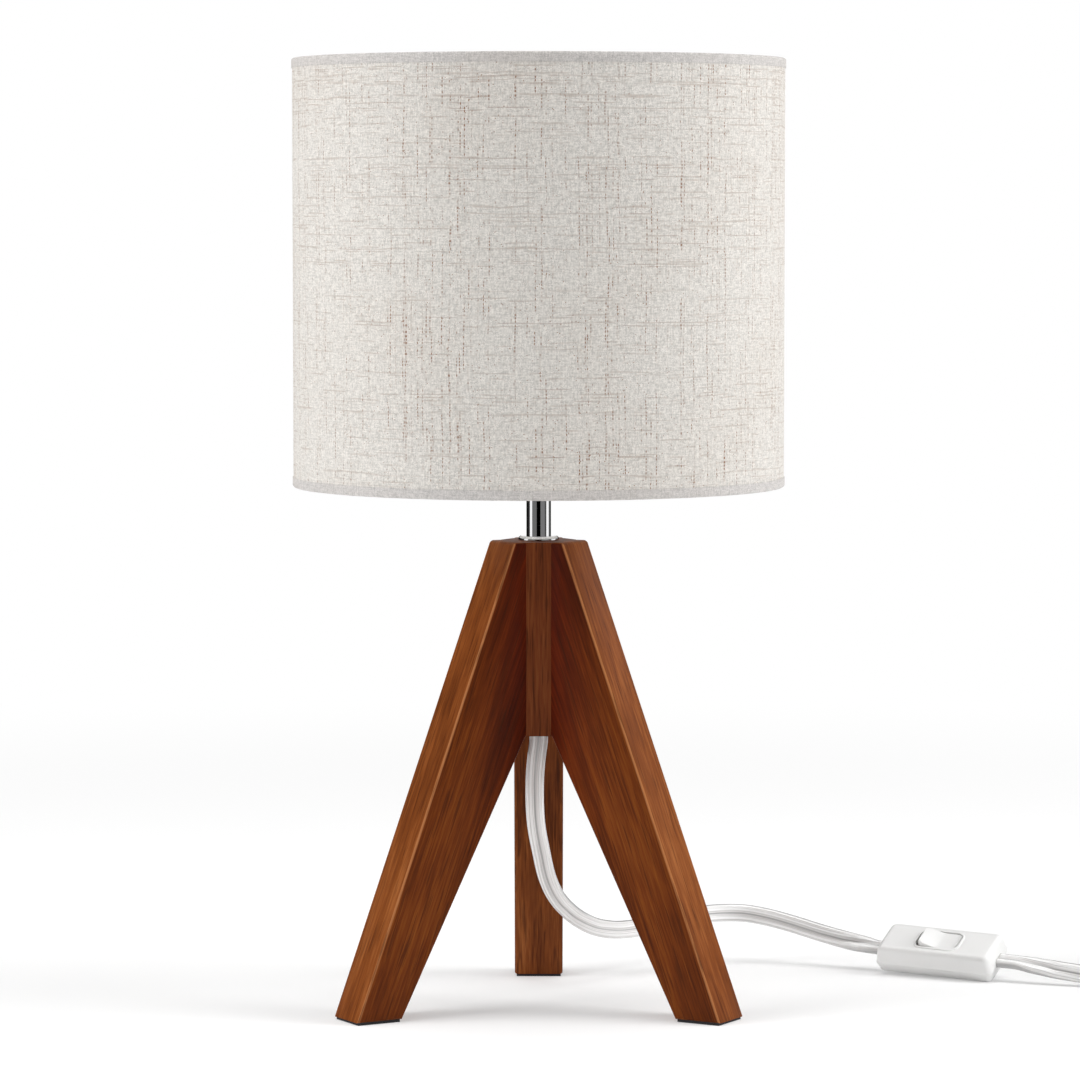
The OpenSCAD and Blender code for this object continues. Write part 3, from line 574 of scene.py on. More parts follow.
def dress(thing, material, body="lamp", replaces=()):
    """Gives a piece or a CAD node its finish; a new piece also rides a body and replaces CAD nodes.
    """
    if isinstance(thing, str):
        thing = frame["nodes"][thing]
    else:
        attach(thing, body)
        if replaces:
            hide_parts(*replaces)
    thing.data.materials.clear()
    thing.data.materials.append(material)
    return thing


# %% [markdown]
# ### Clear cord
#
# Through the clear sheath the tinned strands show as silvery streaks that run along the cord. Each
# of the two cores has a painted highlight, a bright line along its back, for the glint of the round
# sheath, and the sheath is painted darker towards its rim and in the groove, as shade. A hard gloss
# lies over everything.

# %% Clear sheath over tinned strands
def clear_sheath():
    f = Finish("clear_pvc", IOR=1.52, Coat_Weight=1.0, Coat_Roughness=0.05)
    uv = f.node("ShaderNodeUVMap", {"uv_map": "along_across"})
    along, across, _ = f.split(uv)
    side = (across - 0.5).do("ABSOLUTE")
    core = ((side - 0.25) * 4).do("ABSOLUTE")
    # mask of the sheath's rim and groove, where the colour is painted darker as shade
    rim = core.clamp(0.68, 1.0)
    streaks = f.noise(f.join(along * 6, across * 12, 0.0), detail=3, roughness=0.6)
    strands = f.noise(f.join(along * 700 + across * 240, across * 6, 0.0), detail=1)
    metal = (streaks.clamp(0.36, 0.62) * 0.75 + strands.clamp(0.3, 0.7) * 0.25).clamp(0.0, 1.0)
    silver = f.mix(metal, srgb(203, 201, 200), srgb(245, 244, 243))
    # painted highlight: a bright line along the back of each core
    back = (1 - core.clamp(0.06, 0.34)) * (0.5 + 0.5 * streaks.clamp(0.4, 0.55))
    silver = f.mix(back, silver, srgb(253, 253, 253))
    colour = f.mix(rim * 0.7, silver, srgb(150, 149, 150))
    normal = f.bump(streaks * 0.5 + strands * 0.5, 0.05 * MM, 0.5)
    return f.set(Base_Color=colour, Roughness=0.2 + 0.15 * streaks, Normal=normal)


CLEAR_PVC = clear_sheath()
for piece, nodes in (
    (cord_to_switch, ["cord_upper"]),
    (cord_to_plug, ["cord_lower", "cord_coil", "cord_tail"]),
):
    dress(piece, CLEAR_PVC, replaces=nodes)


# %% [markdown]
# ## The boards
#
# Each leg starts as a box. Its foot is slid outwards, a cut at the height of the block's underside
# gives the knee of the inner edge, the shoulder is rounded and the long edges are eased, as a
# router would. The grain runs along the outer edge, so every corner also stores where it is along,
# in from and through the board, and every point how far it is from the block. The wood finish
# reads both. The narrow inner edge keeps one depth, because its grain is seen running straight.

# %% Legs
HUB_TOP, PAD = 190.8, 1.1
LEG_T, LEG_FACE, LEG_TOP_W, LEG_FOOT_W, LEG_SPREAD = 20.3, 11.7, 5.5, 20.4, 68.9
EASE, SHOULDER_R = 0.9, 1.8
INNER_GRAIN, GRAIN_APART = 31, 430
LEG_ANGLES = {"leg_left": 210, "leg_right": 330, "leg_back": 90}


def near(value, target, margin=0.05):
    """True where a place in metres lies at target millimetres."""
    return abs(value / MM - target) < margin


def board_leg(name, angle, number):
    """A leg board, at its angle round the block. Its number sets where its grain starts."""
    height = HUB_TOP - PAD
    bpy.ops.mesh.primitive_cube_add(
        size=1,
        location=((LEG_FACE + LEG_TOP_W / 2) * MM, 0, (PAD + height / 2) * MM),
        scale=(LEG_TOP_W * MM, LEG_T * MM, height * MM),
    )
    leg = start(name + "_board")
    outer, top_x = LEG_SPREAD + LEG_FOOT_W, LEG_FACE + LEG_TOP_W
    foot = lambda p, x: near(p.z, PAD) and near(p.x, x)
    move(leg, lambda p: foot(p, top_x), ((outer - top_x) * MM, 0, 0))
    slice_at(leg, (0, 0, BLOCK_BOTTOM * MM), UP)
    move(leg, lambda p: foot(p, LEG_FACE), ((LEG_SPREAD - LEG_FACE) * MM, 0, 0))
    slant = math.atan2(outer - top_x, height)
    half_corner = (math.pi / 2 + slant) / 2
    shoulder = lambda a, b: all(near(p.z, HUB_TOP) and near(p.x, top_x) for p in (a, b))
    ease(leg, shoulder, SHOULDER_R / math.tan(half_corner) * MM, segments=6)

    def outline(a, b):
        on_side = near(abs(a.y), LEG_T / 2) and near(abs(b.y), LEG_T / 2) and a.y * b.y > 0
        glued = near(a.x, LEG_FACE) and near(b.x, LEG_FACE)
        cut_line = near(a.z, BLOCK_BOTTOM) and near(b.z, BLOCK_BOTTOM)
        return on_side and not glued and not cut_line

    ease(leg, outline, EASE * MM)
    along = Vector((math.sin(slant), 0, -math.cos(slant)))
    inward = Vector((-math.cos(slant), 0, -math.sin(slant)))
    top = Vector((top_x * MM, 0, HUB_TOP * MM))
    offsets = [v.co - top for v in leg.data.vertices]
    grain = leg.data.attributes.new("grain", "FLOAT_VECTOR", "CORNER")
    for face in leg.data.polygons:
        inner_edge = face.normal.dot(inward) > 0.9
        for corner in face.loop_indices:
            d = offsets[leg.data.loops[corner].vertex_index]
            depth = INNER_GRAIN * MM if inner_edge else d.dot(inward)
            grain.data[corner].vector = (d.dot(along) + GRAIN_APART * MM * number, depth, d.y)
    # how far each point is from the block, for the painted shade next to it
    reach = leg.data.attributes.new("reach", "FLOAT", "POINT")
    for stored, d in zip(reach.data, offsets):
        stored.value = d.x + LEG_TOP_W * MM
    leg.rotation_euler.z = math.radians(angle)
    settle(leg)
    return smooth(leg, 30)


# %% [markdown]
# Walnut-brown stain goes dark in the soft rings and stays warm on the hard ones. Broad bands come
# from a noise that is stretched along the board, fine fibres from a tighter one, and the pores are
# short dark dashes. The boards' flat sides are painted darker than their outer edge, as painted
# shade, and darkest in the corner next to the block, where shade falls between the parts. The
# lacquer is satin, and the eased edges are paler: the stain is rubbed there, and a painted
# highlight lies along them.

# %% Stained wood
def stained_wood(name, grain_of, dark, middle, light, board=False):
    """Wood along the grain that grain_of gives; a board also gets painted shade on its sides and
    edges paler from wear and a painted highlight.
    """
    f = Finish(name, IOR=1.45, Coat_Weight=0.02, Coat_Roughness=0.2, Specular_IOR_Level=0.09)
    grain = grain_of(f)
    bands = f.noise(f.stretch(grain, (6, 110, 70)), detail=4, roughness=0.6, distortion=0.5)
    fibres = f.noise(f.stretch(grain, (38, 950, 760)), detail=3, roughness=0.7)
    pores = f.noise(f.stretch(grain, (50, 1300, 1100)), detail=2).clamp(0.55, 0.66)
    cloud = f.noise(f.stretch(grain, (10, 20, 20)), detail=2)
    tone = bands * 0.42 + fibres * 0.48 + cloud * 0.26 - 0.08
    colour = f.ramp(tone, [(0.36, dark), (0.52, middle), (0.68, light)])
    if board:
        _, inward, through = f.split(grain)
        side = through.do("ABSOLUTE")
        reach = f.node("ShaderNodeAttribute", {"attribute_name": "reach"}, out="Fac")
        # painted shade on the flat sides, darkest next to the block
        painted_side_shade = f.mix(reach.clamp(-4 * MM, 34 * MM), (0.38, 0.12, 0.01), (0.64, 0.5, 0.25))
        painted_shade_colour = f.mix(1.0, colour, painted_side_shade, "MULTIPLY")
        colour = f.mix(side.clamp(9.6 * MM, 10.1 * MM), colour, painted_shade_colour)
        # paler eased edges: rubbed stain and a painted highlight
        edge = (1 - inward.clamp(0.4 * MM, 1.1 * MM)) * side.clamp(9.3 * MM, 9.8 * MM)
        colour = f.mix(edge * 0.65, colour, srgb(192, 128, 80))
    colour = f.mix(pores * 0.55, colour, times(0.55, dark))
    height = fibres * 0.6 - pores * 0.8
    normal = f.bump(height, 0.04 * MM, 0.5)
    return f.set(Base_Color=colour, Roughness=0.36 + 0.16 * fibres, Normal=normal)


WALNUT = stained_wood(
    "walnut",
    lambda f: f.node("ShaderNodeAttribute", {"attribute_name": "grain"}, out="Vector"),
    srgb(79, 36, 12), srgb(121, 64, 26), srgb(157, 95, 49), board=True,
)
WALNUT_BLOCK = stained_wood(
    "walnut_block", lambda f: f.place((0, 90, 0)),
    srgb(70, 30, 11), srgb(104, 51, 22), srgb(128, 71, 36),
)
for number, (name, angle) in enumerate(LEG_ANGLES.items()):
    leg = board_leg(name, angle, number)
    dress(leg, WALNUT, replaces=[name])
dress("centre_block", WALNUT_BLOCK)


# %% [markdown]
# ## The chromed stem
#
# Polished metal has no colour of its own: it shows the studio. So the pipe and the round nut are
# turned very smooth, and their finish is bare metal with a breath of haze.

# %% Stem and round nut
PIPE_R, PIPE_BORE, PIPE_LOW, PIPE_HIGH, PIPE_EDGE = 5, 4.05, 116, 231, 0.3
THREAD_DEPTH, THREAD_PITCH = 0.4, 1.25
NUT_R, NUT_H, NUT_ROUND = 8.25, 1.8, 1.2


def thread_outline(low, high):
    """Crests and roots of the pipe's thread, drawn as rings."""
    count = int((high - low) / THREAD_PITCH)
    first = (low + high - count * THREAD_PITCH) / 2
    steps = ((0, 0), (0.35, 0), (0.5, THREAD_DEPTH), (0.8, THREAD_DEPTH), (1, 0))
    return [(PIPE_R - d, first + (i + k) * THREAD_PITCH) for i in range(count) for k, d in steps]


stem = turned(
    "stem",
    [(PIPE_BORE, PIPE_LOW), (PIPE_R - PIPE_EDGE, PIPE_LOW), (PIPE_R, PIPE_LOW + PIPE_EDGE)]
    + thread_outline(PIPE_LOW + 1, PIPE_LOW + 9)
    + thread_outline(PIPE_HIGH - 8, PIPE_HIGH - 1)
    + [(PIPE_R, PIPE_HIGH - PIPE_EDGE), (PIPE_R - PIPE_EDGE, PIPE_HIGH), (PIPE_BORE, PIPE_HIGH)],
)
round_nut = turned(
    "round_nut",
    [(PIPE_R + SEAT, HUB_TOP + SEAT), (NUT_R - 0.15, HUB_TOP + SEAT), (NUT_R, HUB_TOP + 0.2)]
    + arc((NUT_R - NUT_ROUND, HUB_TOP + NUT_H - NUT_ROUND), NUT_ROUND, 0, 90)
    + [(PIPE_R + SEAT, HUB_TOP + NUT_H)],
)


def polished(name, colour, haze):
    f = Finish(name, Metallic=1.0)
    smear = f.noise(f.place(), scale=60, detail=3)
    tone = f.mix(smear, colour, times(0.96, colour))
    return f.set(Base_Color=tone, Roughness=haze + 0.04 * smear)


CHROME = polished("chrome", (0.82, 0.82, 0.83), 0.02)
dress(stem, CHROME, replaces=["stem_pipe"])
dress(round_nut, CHROME, replaces=["flange_nut"])


# %% [markdown]
# ## The shade
#
# The cover is one strip of linen, wrapped round a stiff lining and overlapped at the back. Its two
# edges are folded into narrow hems over wire rings. The cloth is stretched, so it is a true drum:
# a tube with the thickness of the cloth, and a UV map in metres for the weave.

# %% Linen cover, overlap and hems
SHADE_LOW, SHADE_H, SHADE_R = 213, 173, 100
HEM_H, HEM_T, CLOTH_T = 4, 0.3, 0.55
CLOTH_R = SHADE_R - HEM_T - SEAT
SEAM_W = 9


def wrap_uv(piece, radius):
    """UV in metres: round the drum from its front, and up it."""
    mesh = piece.data
    uv = mesh.uv_layers.new(name="cloth")
    for face in mesh.polygons:
        middle = math.atan2(face.center.x, -face.center.y)
        for index in face.loop_indices:
            p = mesh.vertices[mesh.loops[index].vertex_index].co
            angle = math.atan2(p.x, -p.y)
            angle += 2 * math.pi * round((middle - angle) / (2 * math.pi))
            uv.data[index].uv = (angle * radius * MM, p.z)


def drum_cloth():
    """The linen cover: an open tube, sliced in eight, with the thickness of the cloth."""
    height = SHADE_H - 2 * (HEM_T + SEAT)
    bpy.ops.mesh.primitive_cylinder_add(
        vertices=192, radius=CLOTH_R * MM, depth=height * MM, end_fill_type="NOTHING",
        location=(0, 0, (SHADE_LOW + SHADE_H / 2) * MM),
    )
    cloth = start("linen_cover")
    for part in range(1, 8):
        slice_at(cloth, (0, 0, (SHADE_LOW + SHADE_H * part / 8) * MM), UP)
    finish_with(cloth, "SOLIDIFY", thickness=CLOTH_T * MM, offset=-1)
    wrap_uv(cloth, CLOTH_R)
    return smooth(cloth)


def overlap_strip():
    """The free edge of the linen, glued down at the back: a band, spun through part of a turn."""
    low, high = SHADE_LOW + HEM_H + SEAT, SHADE_LOW + SHADE_H - HEM_H - SEAT
    inner, outer, angle = CLOTH_R + SEAT, CLOTH_R + HEM_T - SEAT, SEAM_W / SHADE_R
    edge = 0.3 * (outer - inner)
    corners = [(inner, low), (outer - edge, low), (outer, low + edge),
               (outer, high - edge), (outer - edge, high), (inner, high)]
    faces = [tuple(range(len(corners)))]
    band = new_piece("linen_overlap", upright_outline(corners), faces=faces)
    band.rotation_euler.z = math.pi / 2 - angle / 2
    settle(band)
    pick(band, "FACE", lambda centre, normal: True)
    edit(band, bpy.ops.mesh.spin, steps=6, angle=angle, center=(0, 0, 0), axis=(0, 0, 1))
    close_up(band)
    wrap_uv(band, inner)
    return smooth(band, 30)


WIRE_LINE_R, WIRE_R, HEM_ROUND = 97.36, 1.2, 0.9
HEM_INNER_R = WIRE_LINE_R - WIRE_R - 0.1


def folded_hem(name, at, up):
    """Tape folded over the edge: a soft outer lip, round under the wire and up inside."""
    outer = [(CLOTH_R + SEAT, HEM_H), (SHADE_R - 0.12, HEM_H), (SHADE_R, HEM_H - 0.25)]
    outer += [(SHADE_R, 1.0)] + arc((SHADE_R - HEM_ROUND, HEM_ROUND), HEM_ROUND, 0, -90, 6)
    inner = arc((HEM_INNER_R - HEM_T + HEM_ROUND, HEM_ROUND), HEM_ROUND, -90, -180, 6)
    inner += [(HEM_INNER_R - HEM_T, HEM_H), (HEM_INNER_R, HEM_H), (HEM_INNER_R, HEM_T)]
    profile = outer + inner + [(CLOTH_R + SEAT, HEM_T)]
    hem = turned(name, [(r, at + z * up) for r, z in profile], steps=192)
    wrap_uv(hem, SHADE_R)
    return hem


linen_cover = drum_cloth()
linen_overlap = overlap_strip()
hem_low = folded_hem("hem_low", SHADE_LOW, 1)
hem_high = folded_hem("hem_high", SHADE_LOW + SHADE_H, -1)


# %% [markdown]
# ### Linen
#
# The weave is plain: at every crossing either the level thread or the upright one lies on top. The
# UV map gives each crossing its row and its column. Some rows have a brown stretch of yarn that
# comes and goes, and shows as a thin, nearly level line. Some columns have one too: it shows as
# small dots, where the yarn comes to the top. The hems are the same cloth, folded, in a greyer
# colour that is partly painted shade on the fold.

# %% Linen weave
def linen(name, thread, slubs, pale, brown):
    f = Finish(name, Roughness=0.92, Sheen_Weight=0.1, Sheen_Roughness=0.5, Specular_IOR_Level=0.2)
    u, v, _ = f.split(f.node("ShaderNodeUVMap", {"uv_map": "cloth"}))
    wander_u = f.noise(f.join(u * 26, v * 14, 0.0), detail=2) * (6 * thread)
    wander_v = f.noise(f.join(u * 12, v * 24, 4.0), detail=2) * (5 * thread)
    column, row = (u + wander_v) / thread, (v + wander_u) / thread
    column_no, row_no = column.do("FLOOR"), row.do("FLOOR")
    level_top = 1 - ((column_no + row_no) * 0.5).do("FRACT") * 2.0
    across_row = ((row.do("FRACT") - 0.5) * math.pi).do("COSINE")
    across_column = ((column.do("FRACT") - 0.5) * math.pi).do("COSINE")
    relief = across_row * level_top + across_column * (1 - level_top)
    crossing = f.chance(f.join(column_no, row_no, 0.0))
    slubby_row = f.chance(f.join(0.0, row_no, 5.0)).clamp(0.65, 0.9)
    slubby_column = f.chance(f.join(column_no, 0.0, 9.0)).clamp(0.7, 0.9)
    patch = f.noise(f.join(u * 16, v * 20, 2.0), detail=2)
    run_row = f.noise(f.join(u * 60, row_no * 7.31, 1.0), detail=2).clamp(0.5, 0.58)
    run_column = f.noise(f.join(column_no * 5.17, v * 55, 3.0), detail=2).clamp(0.48, 0.56)
    line = slubby_row * run_row * (0.25 + 0.75 * crossing)
    group = f.chance(f.join(column_no, (row_no * 0.3).do("FLOOR"), 2.0)).clamp(0.35, 0.5)
    beat = group * (1 - (row_no * 0.3).do("FRACT").clamp(0.5, 0.6))
    dots = slubby_column * run_column * (0.2 + 0.8 * beat)
    stray = (crossing.clamp(0.97, 0.98) * 0.35).do("MAXIMUM", crossing.clamp(0.992, 0.994) * 0.8)
    fleck = (line * 0.55).do("MAXIMUM", dots * 0.95).do("MAXIMUM", stray) * (patch * 0.8 + slubs)
    upright = f.noise(f.join(u * 1500, v * 260, 0.0), detail=2, roughness=0.7)
    level = f.noise(f.join(u * 260, v * 1500, 7.0), detail=2, roughness=0.7)
    yarn = (upright * 0.5 + level * 0.5).clamp(0.3, 0.66)
    shade = relief * 0.1 + yarn * 0.5 + crossing * 0.4
    cloth = f.mix(shade, times(0.5, pale), times(1.1, pale))
    cloth = f.mix(patch.clamp(0.42, 0.7) * 0.1, cloth, srgb(196, 184, 172))
    cloth = f.mix(fleck.do("MINIMUM", 1.0), cloth, brown)
    normal = f.bump(relief * 0.6 + yarn * 0.4, 0.12 * MM, 0.6)
    return f.set(Base_Color=cloth, Normal=normal)


LINEN = linen("linen", 0.42 * MM, 0.45, srgb(226, 222, 216), srgb(130, 92, 62))
# the hem's greyer colour is partly painted shade
HEM_TAPE = linen("hem_tape", 0.34 * MM, -0.4, srgb(210, 206, 203), srgb(150, 130, 115))
dress(linen_cover, LINEN, replaces=["shade_fabric"])
dress(linen_overlap, LINEN, replaces=["shade_seam"])
dress(hem_low, HEM_TAPE, replaces=["hem_bottom"])
dress(hem_high, HEM_TAPE, replaces=["hem_top"])


# %% [markdown]
# ## The switch
#
# A two-part moulding lies on one of its lower side faces. It is modelled level, in its own
# frame, and then laid in place. The cover is a box with a drawn-in top and round edges, the well is
# cut by a boolean, and a thin lip stands round it. The rocker has a raised, dished half.

# %% Switch housing
SW_W, SW_UP = 22, 7.2
SW_END_WALL, SW_SIDE_WALL, SW_ROOF, SW_FLOOR = 3.2, 2.8, 1.6, 2.4
SW_CORNER, SW_TOP_EDGE, BASE_CORNER, BASE_EDGE = 2.6, 2.0, 1.8, 0.5
SCREW_R, SCREW_PLACES = 1.8, ((-20, 6.3), (20, -6.3))
CORD_PLAY = 0.1
ROCKER_L, ROCKER_W, ROCKER_GAP, ROCKER_PIVOT = 18.5, 11.6, 0.3, 3.5
ROCKER_TILT, ROCKER_CORNER = math.radians(9), 4
ROCKER_END_R = ROCKER_L / 2 + 0.35
WELL_L = 2 * (math.sqrt(ROCKER_END_R**2 - 2.1**2) + ROCKER_GAP)
WELL_W, WELL_CORNER = ROCKER_W + 2 * ROCKER_GAP, 3.6
LIP_W, LIP_H, LIP_EDGE = 0.9, 0.35, 0.25
switch_place = Matrix.Translation(switch_centre * MM) @ switch_turn.to_4x4()


def lay(piece):
    """Takes a piece of the switch from its level frame to its place."""
    piece.matrix_world = switch_place
    return settle(piece)


def box_between(name, low, high):
    """A box between two corners, in millimetres."""
    size = [(b - a) * MM for a, b in zip(low, high)]
    middle = [(a + b) / 2 * MM for a, b in zip(low, high)]
    bpy.ops.mesh.primitive_cube_add(size=1, location=middle, scale=size)
    return start(name)


def cylinder(name, radius, length, middle, sides, turn=(0, 0, 0)):
    """An upright cylinder about its middle, in millimetres, and then turned."""
    bpy.ops.mesh.primitive_cylinder_add(
        vertices=sides, radius=radius * MM, depth=length * MM,
        location=[c * MM for c in middle], rotation=turn,
    )
    return start(name)


def slab(name, length, width, corner, low, high):
    """A box with rounded upright corners."""
    box = box_between(name, (-length / 2, -width / 2, low), (length / 2, width / 2, high))
    ease(box, lambda a, b: abs(a.z - b.z) > 0.1 * MM, corner * MM, 12)
    return box


def combine(piece, tool, operation):
    """Cuts a tool from a piece, or joins it on, and throws the tool away."""
    finish_with(piece, "BOOLEAN", operation=operation, object=tool, solver="EXACT")
    bpy.data.objects.remove(tool)
    close_up(piece)


def cord_hole(piece):
    """Cuts the slot where the cord goes in, through both ends: a disc, its halves slid apart."""
    sides, turn = 64, (0, 0, math.pi / 64)
    hole = cylinder("cord_hole", CORD_T / 2 + CORD_PLAY, 2 * SWITCH_L, (0, 0, 0), sides, turn)
    slide = (CORD_W - CORD_T) / 2 * MM
    move(hole, lambda p: p.x > 0, (slide, 0, 0))
    move(hole, lambda p: p.x < 0, (-slide, 0, 0))
    hole.rotation_euler = (math.pi / 2, 0, math.pi / 2)
    combine(piece, settle(hole), "DIFFERENCE")


def hollow(piece, low, high):
    """Cuts the space between the switch's walls."""
    x, y = SWITCH_L / 2 - SW_END_WALL, SW_W / 2 - SW_SIDE_WALL
    combine(piece, box_between("inside", (-x, -y, low), (x, y, high)), "DIFFERENCE")


def switch_cover_piece():
    """The upper half, with a lip round the rocker's well."""
    cover = box_between("switch_cover_shell", (-SWITCH_L / 2, -SW_W / 2, 0),
                        (SWITCH_L / 2, SW_W / 2, SW_UP))
    top = lambda p: near(p.z, SW_UP)
    draw_in(cover, top, (1 - 2 * SW_DRAFT / SWITCH_L, 1 - 2 * SW_DRAFT / SW_W, 1))
    ease(cover, lambda a, b: abs(a.z - b.z) > 3 * MM, SW_CORNER * MM, 5)
    ease(cover, lambda a, b: top(a) and top(b), SW_TOP_EDGE * MM, 6)
    lip_top = SW_UP + LIP_H
    lip = slab("lip", WELL_L + 2 * LIP_W, WELL_W + 2 * LIP_W, WELL_CORNER + LIP_W,
               SW_UP - 0.5, lip_top)
    ease(lip, lambda a, b: near(a.z, lip_top) and near(b.z, lip_top), LIP_EDGE * MM, 3)
    combine(cover, lip, "UNION")
    hollow(cover, -1, SW_UP - SW_ROOF)
    combine(cover, slab("well", WELL_L, WELL_W, WELL_CORNER, -1, SW_UP + 4), "DIFFERENCE")
    cord_hole(cover)
    return smooth(lay(cover), 30)


def switch_base_piece():
    """The lower half: its side faces run in to a narrow sole, with two sunk screws."""
    facet_x = SW_W / 2 - SW_DRAFT
    knee = (facet_x - SW_SOLE / 2) * math.tan(ROLL) - SW_DOWN
    base = box_between("switch_base_shell", (-SWITCH_L / 2, -SW_W / 2, -SW_DOWN),
                       (SWITCH_L / 2, SW_W / 2, -SEAT))
    slice_at(base, (0, 0, knee * MM), UP)
    draw_in(base, lambda p: p.z < (knee + 0.1) * MM,
            (1 - 2 * SW_DRAFT / SWITCH_L, 2 * facet_x / SW_W, 1))
    draw_in(base, lambda p: near(p.z, -SW_DOWN),
            (1 - 1 / (SWITCH_L / 2 - SW_DRAFT), SW_SOLE / (2 * facet_x), 1))
    ends = lambda a, b: abs(a.z - b.z) > 1 * MM and a.y * b.y > 0
    ease(base, ends, BASE_CORNER * MM, 4)
    lengthwise = lambda a, b: abs(a.z - b.z) < 0.1 * MM and a.z < -3 * MM
    ease(base, lengthwise, BASE_EDGE * MM, 3)
    hollow(base, SW_FLOOR - SW_DOWN, 1)
    for x, y in SCREW_PLACES:
        hole = cylinder("screw_hole", SCREW_R, 3.6, (x, y, 0.8 - SW_DOWN), 32)
        combine(base, hole, "DIFFERENCE")
    cord_hole(base)
    return smooth(lay(base), 30)


# %% Rocker
ROCKER_UNDER, ROCKER_DISH, ROCKER_RISE, ROCKER_EDGE, ROCKER_SLICES = -2.4, 3.8, 1.6, 0.45, 24
SLOPE_START, SLOPE_RISE = 0.55, 3.2
PIN_R, PIN_L, PIN_Y = 1.2, 2.6, 6.75
CROSSWISE = (math.pi / 2, 0, 0)


def rocker_piece():
    """A slab whose top is dished and whose ends are rounded about its pivot, on two short pins."""
    half = ROCKER_L / 2
    rocker = slab("rocker_key", ROCKER_L, ROCKER_W, ROCKER_CORNER,
                  ROCKER_UNDER, ROCKER_DISH + ROCKER_RISE)
    for part in range(1, ROCKER_SLICES):
        slice_at(rocker, ((part / ROCKER_SLICES * 2 - 1) * half * MM, 0, 0), (1, 0, 0))
    for v in rocker.data.vertices:
        k = min(1, abs(v.co.x) / (half * MM))
        if v.co.z > 0:
            v.co.z = (ROCKER_DISH + ROCKER_RISE * k**1.4) * MM
        else:
            slope = max(0, k - SLOPE_START) / (1 - SLOPE_START)
            v.co.z = (ROCKER_UNDER + SLOPE_RISE * slope) * MM
    ends = cylinder("ends", ROCKER_END_R, ROCKER_W + 2, (0, 0, 0), 192, CROSSWISE)
    combine(rocker, ends, "INTERSECT")
    rim = lambda a, b: all(p.z > 3.0 * MM and on_rim(p) for p in (a, b)) and not upright(a, b)
    ease(rocker, rim, ROCKER_EDGE * MM, 4)
    for side in (-1, 1):
        pin = cylinder("pin", PIN_R, PIN_L, (0, side * PIN_Y, 0), 32, CROSSWISE)
        combine(rocker, pin, "UNION")
    rocker.rotation_euler.y = ROCKER_TILT
    rocker.location.z = ROCKER_PIVOT * MM
    settle(rocker)
    return smooth(lay(rocker), 40)


def on_rim(p):
    """True on the rocker's outer wall: its rounded outline, or its round ends."""
    x = max(abs(p.x) / MM - (ROCKER_L / 2 - ROCKER_CORNER), 0)
    y = max(abs(p.y) / MM - (ROCKER_W / 2 - ROCKER_CORNER), 0)
    outline = abs(math.hypot(x, y) - ROCKER_CORNER) < 0.03
    return outline or abs(math.hypot(p.x, p.z) / MM - ROCKER_END_R) < 0.02


def upright(a, b):
    """True for an edge that runs down the wall and not along the rim."""
    across = math.hypot(a.x - b.x, a.y - b.y)
    return abs(a.z - b.z) > 1.2 * across


switch_cover_shell = switch_cover_piece()
switch_base_shell = switch_base_piece()
rocker_key = rocker_piece()


# %% [markdown]
# ### Mouldings
#
# Moulded plastic is smooth but never perfect: the gloss wavers a little, the surface has a faint
# orange peel, and there is a trace of yellow or grey in it.

# %% Moulded plastics
def moulded(name, colour, gloss, peel=0.02 * MM, **fixed):
    f = Finish(name, IOR=1.49, **fixed)
    at = f.place()
    cloud = f.noise(at, scale=55, detail=3)
    fine = f.noise(at, scale=900, detail=2)
    tone = f.mix(cloud, times(0.93, colour), colour)
    normal = f.bump(cloud * 0.4 + fine * 0.6, peel, 0.5)
    return f.set(Base_Color=tone, Roughness=gloss + 0.10 * cloud, Normal=normal)


SWITCH_WHITE = moulded("switch_white", srgb(240, 240, 239), 0.26, Coat_Weight=0.15)
WHITE_PLASTIC = moulded("white_plastic", srgb(236, 235, 232), 0.38)
CERAMIC = moulded("ceramic", srgb(238, 236, 228), 0.14, Coat_Weight=0.5)
BLACK_GLASS = moulded("black_glass", srgb(22, 22, 26), 0.12)
MILKY_PVC = moulded("clear_white", srgb(214, 213, 210), 0.2, Coat_Weight=0.4)
LINING = moulded("lining", srgb(243, 242, 238), 0.5, peel=0.01 * MM)
WHITE_WIRE = moulded("white_wire", srgb(238, 238, 236), 0.32, Coat_Weight=0.2)
OPAL = moulded("opal", srgb(244, 243, 238), 0.34)
BOARD = moulded("board", srgb(236, 238, 232), 0.3)
dress(switch_cover_shell, SWITCH_WHITE, replaces=["switch_cover"])
dress(switch_base_shell, SWITCH_WHITE, replaces=["switch_base"])
dress(rocker_key, SWITCH_WHITE, body="rocker", replaces=["switch_rocker"])


# %% [markdown]
# ## The bulb
#
# Seen from above, the opal globe and its flared housing would show the facets of their plain
# solids. So both are turned again with a fine outline. It runs open, from the outer pole round the
# rim to the inner pole, because a line on the axis itself would spin into faces with no area.

# %% Globe and housing
BULB_TOP, BULB_R, BULB_WALL, BULB_CAP_R, BULB_CAP_TOP = 359.92, 30, 1.2, 13.15, 278.52
GLOBE_H = 1.55 * BULB_R
GLOBE_LOW, GLOBE_Z = BULB_TOP - GLOBE_H, BULB_TOP - BULB_R
GLOBE_START = math.degrees(math.asin((GLOBE_LOW - GLOBE_Z) / BULB_R))
HOUSING_LOW, HOUSING_FLOOR, FLARE_STEPS, FLOOR_STEP = BULB_CAP_TOP + SEAT, 287.26, 24, 6


def flare(share, wall=0):
    """A point of the housing's outline, with a sine-shaped flare from the cap up to the globe."""
    low, high = BULB_CAP_R + 0.8, BULB_R * math.cos(math.radians(GLOBE_START))
    radius = low + (high - low) * math.sin(math.pi / 2 * share) - wall
    return radius, HOUSING_LOW + (GLOBE_LOW - HOUSING_LOW) * share


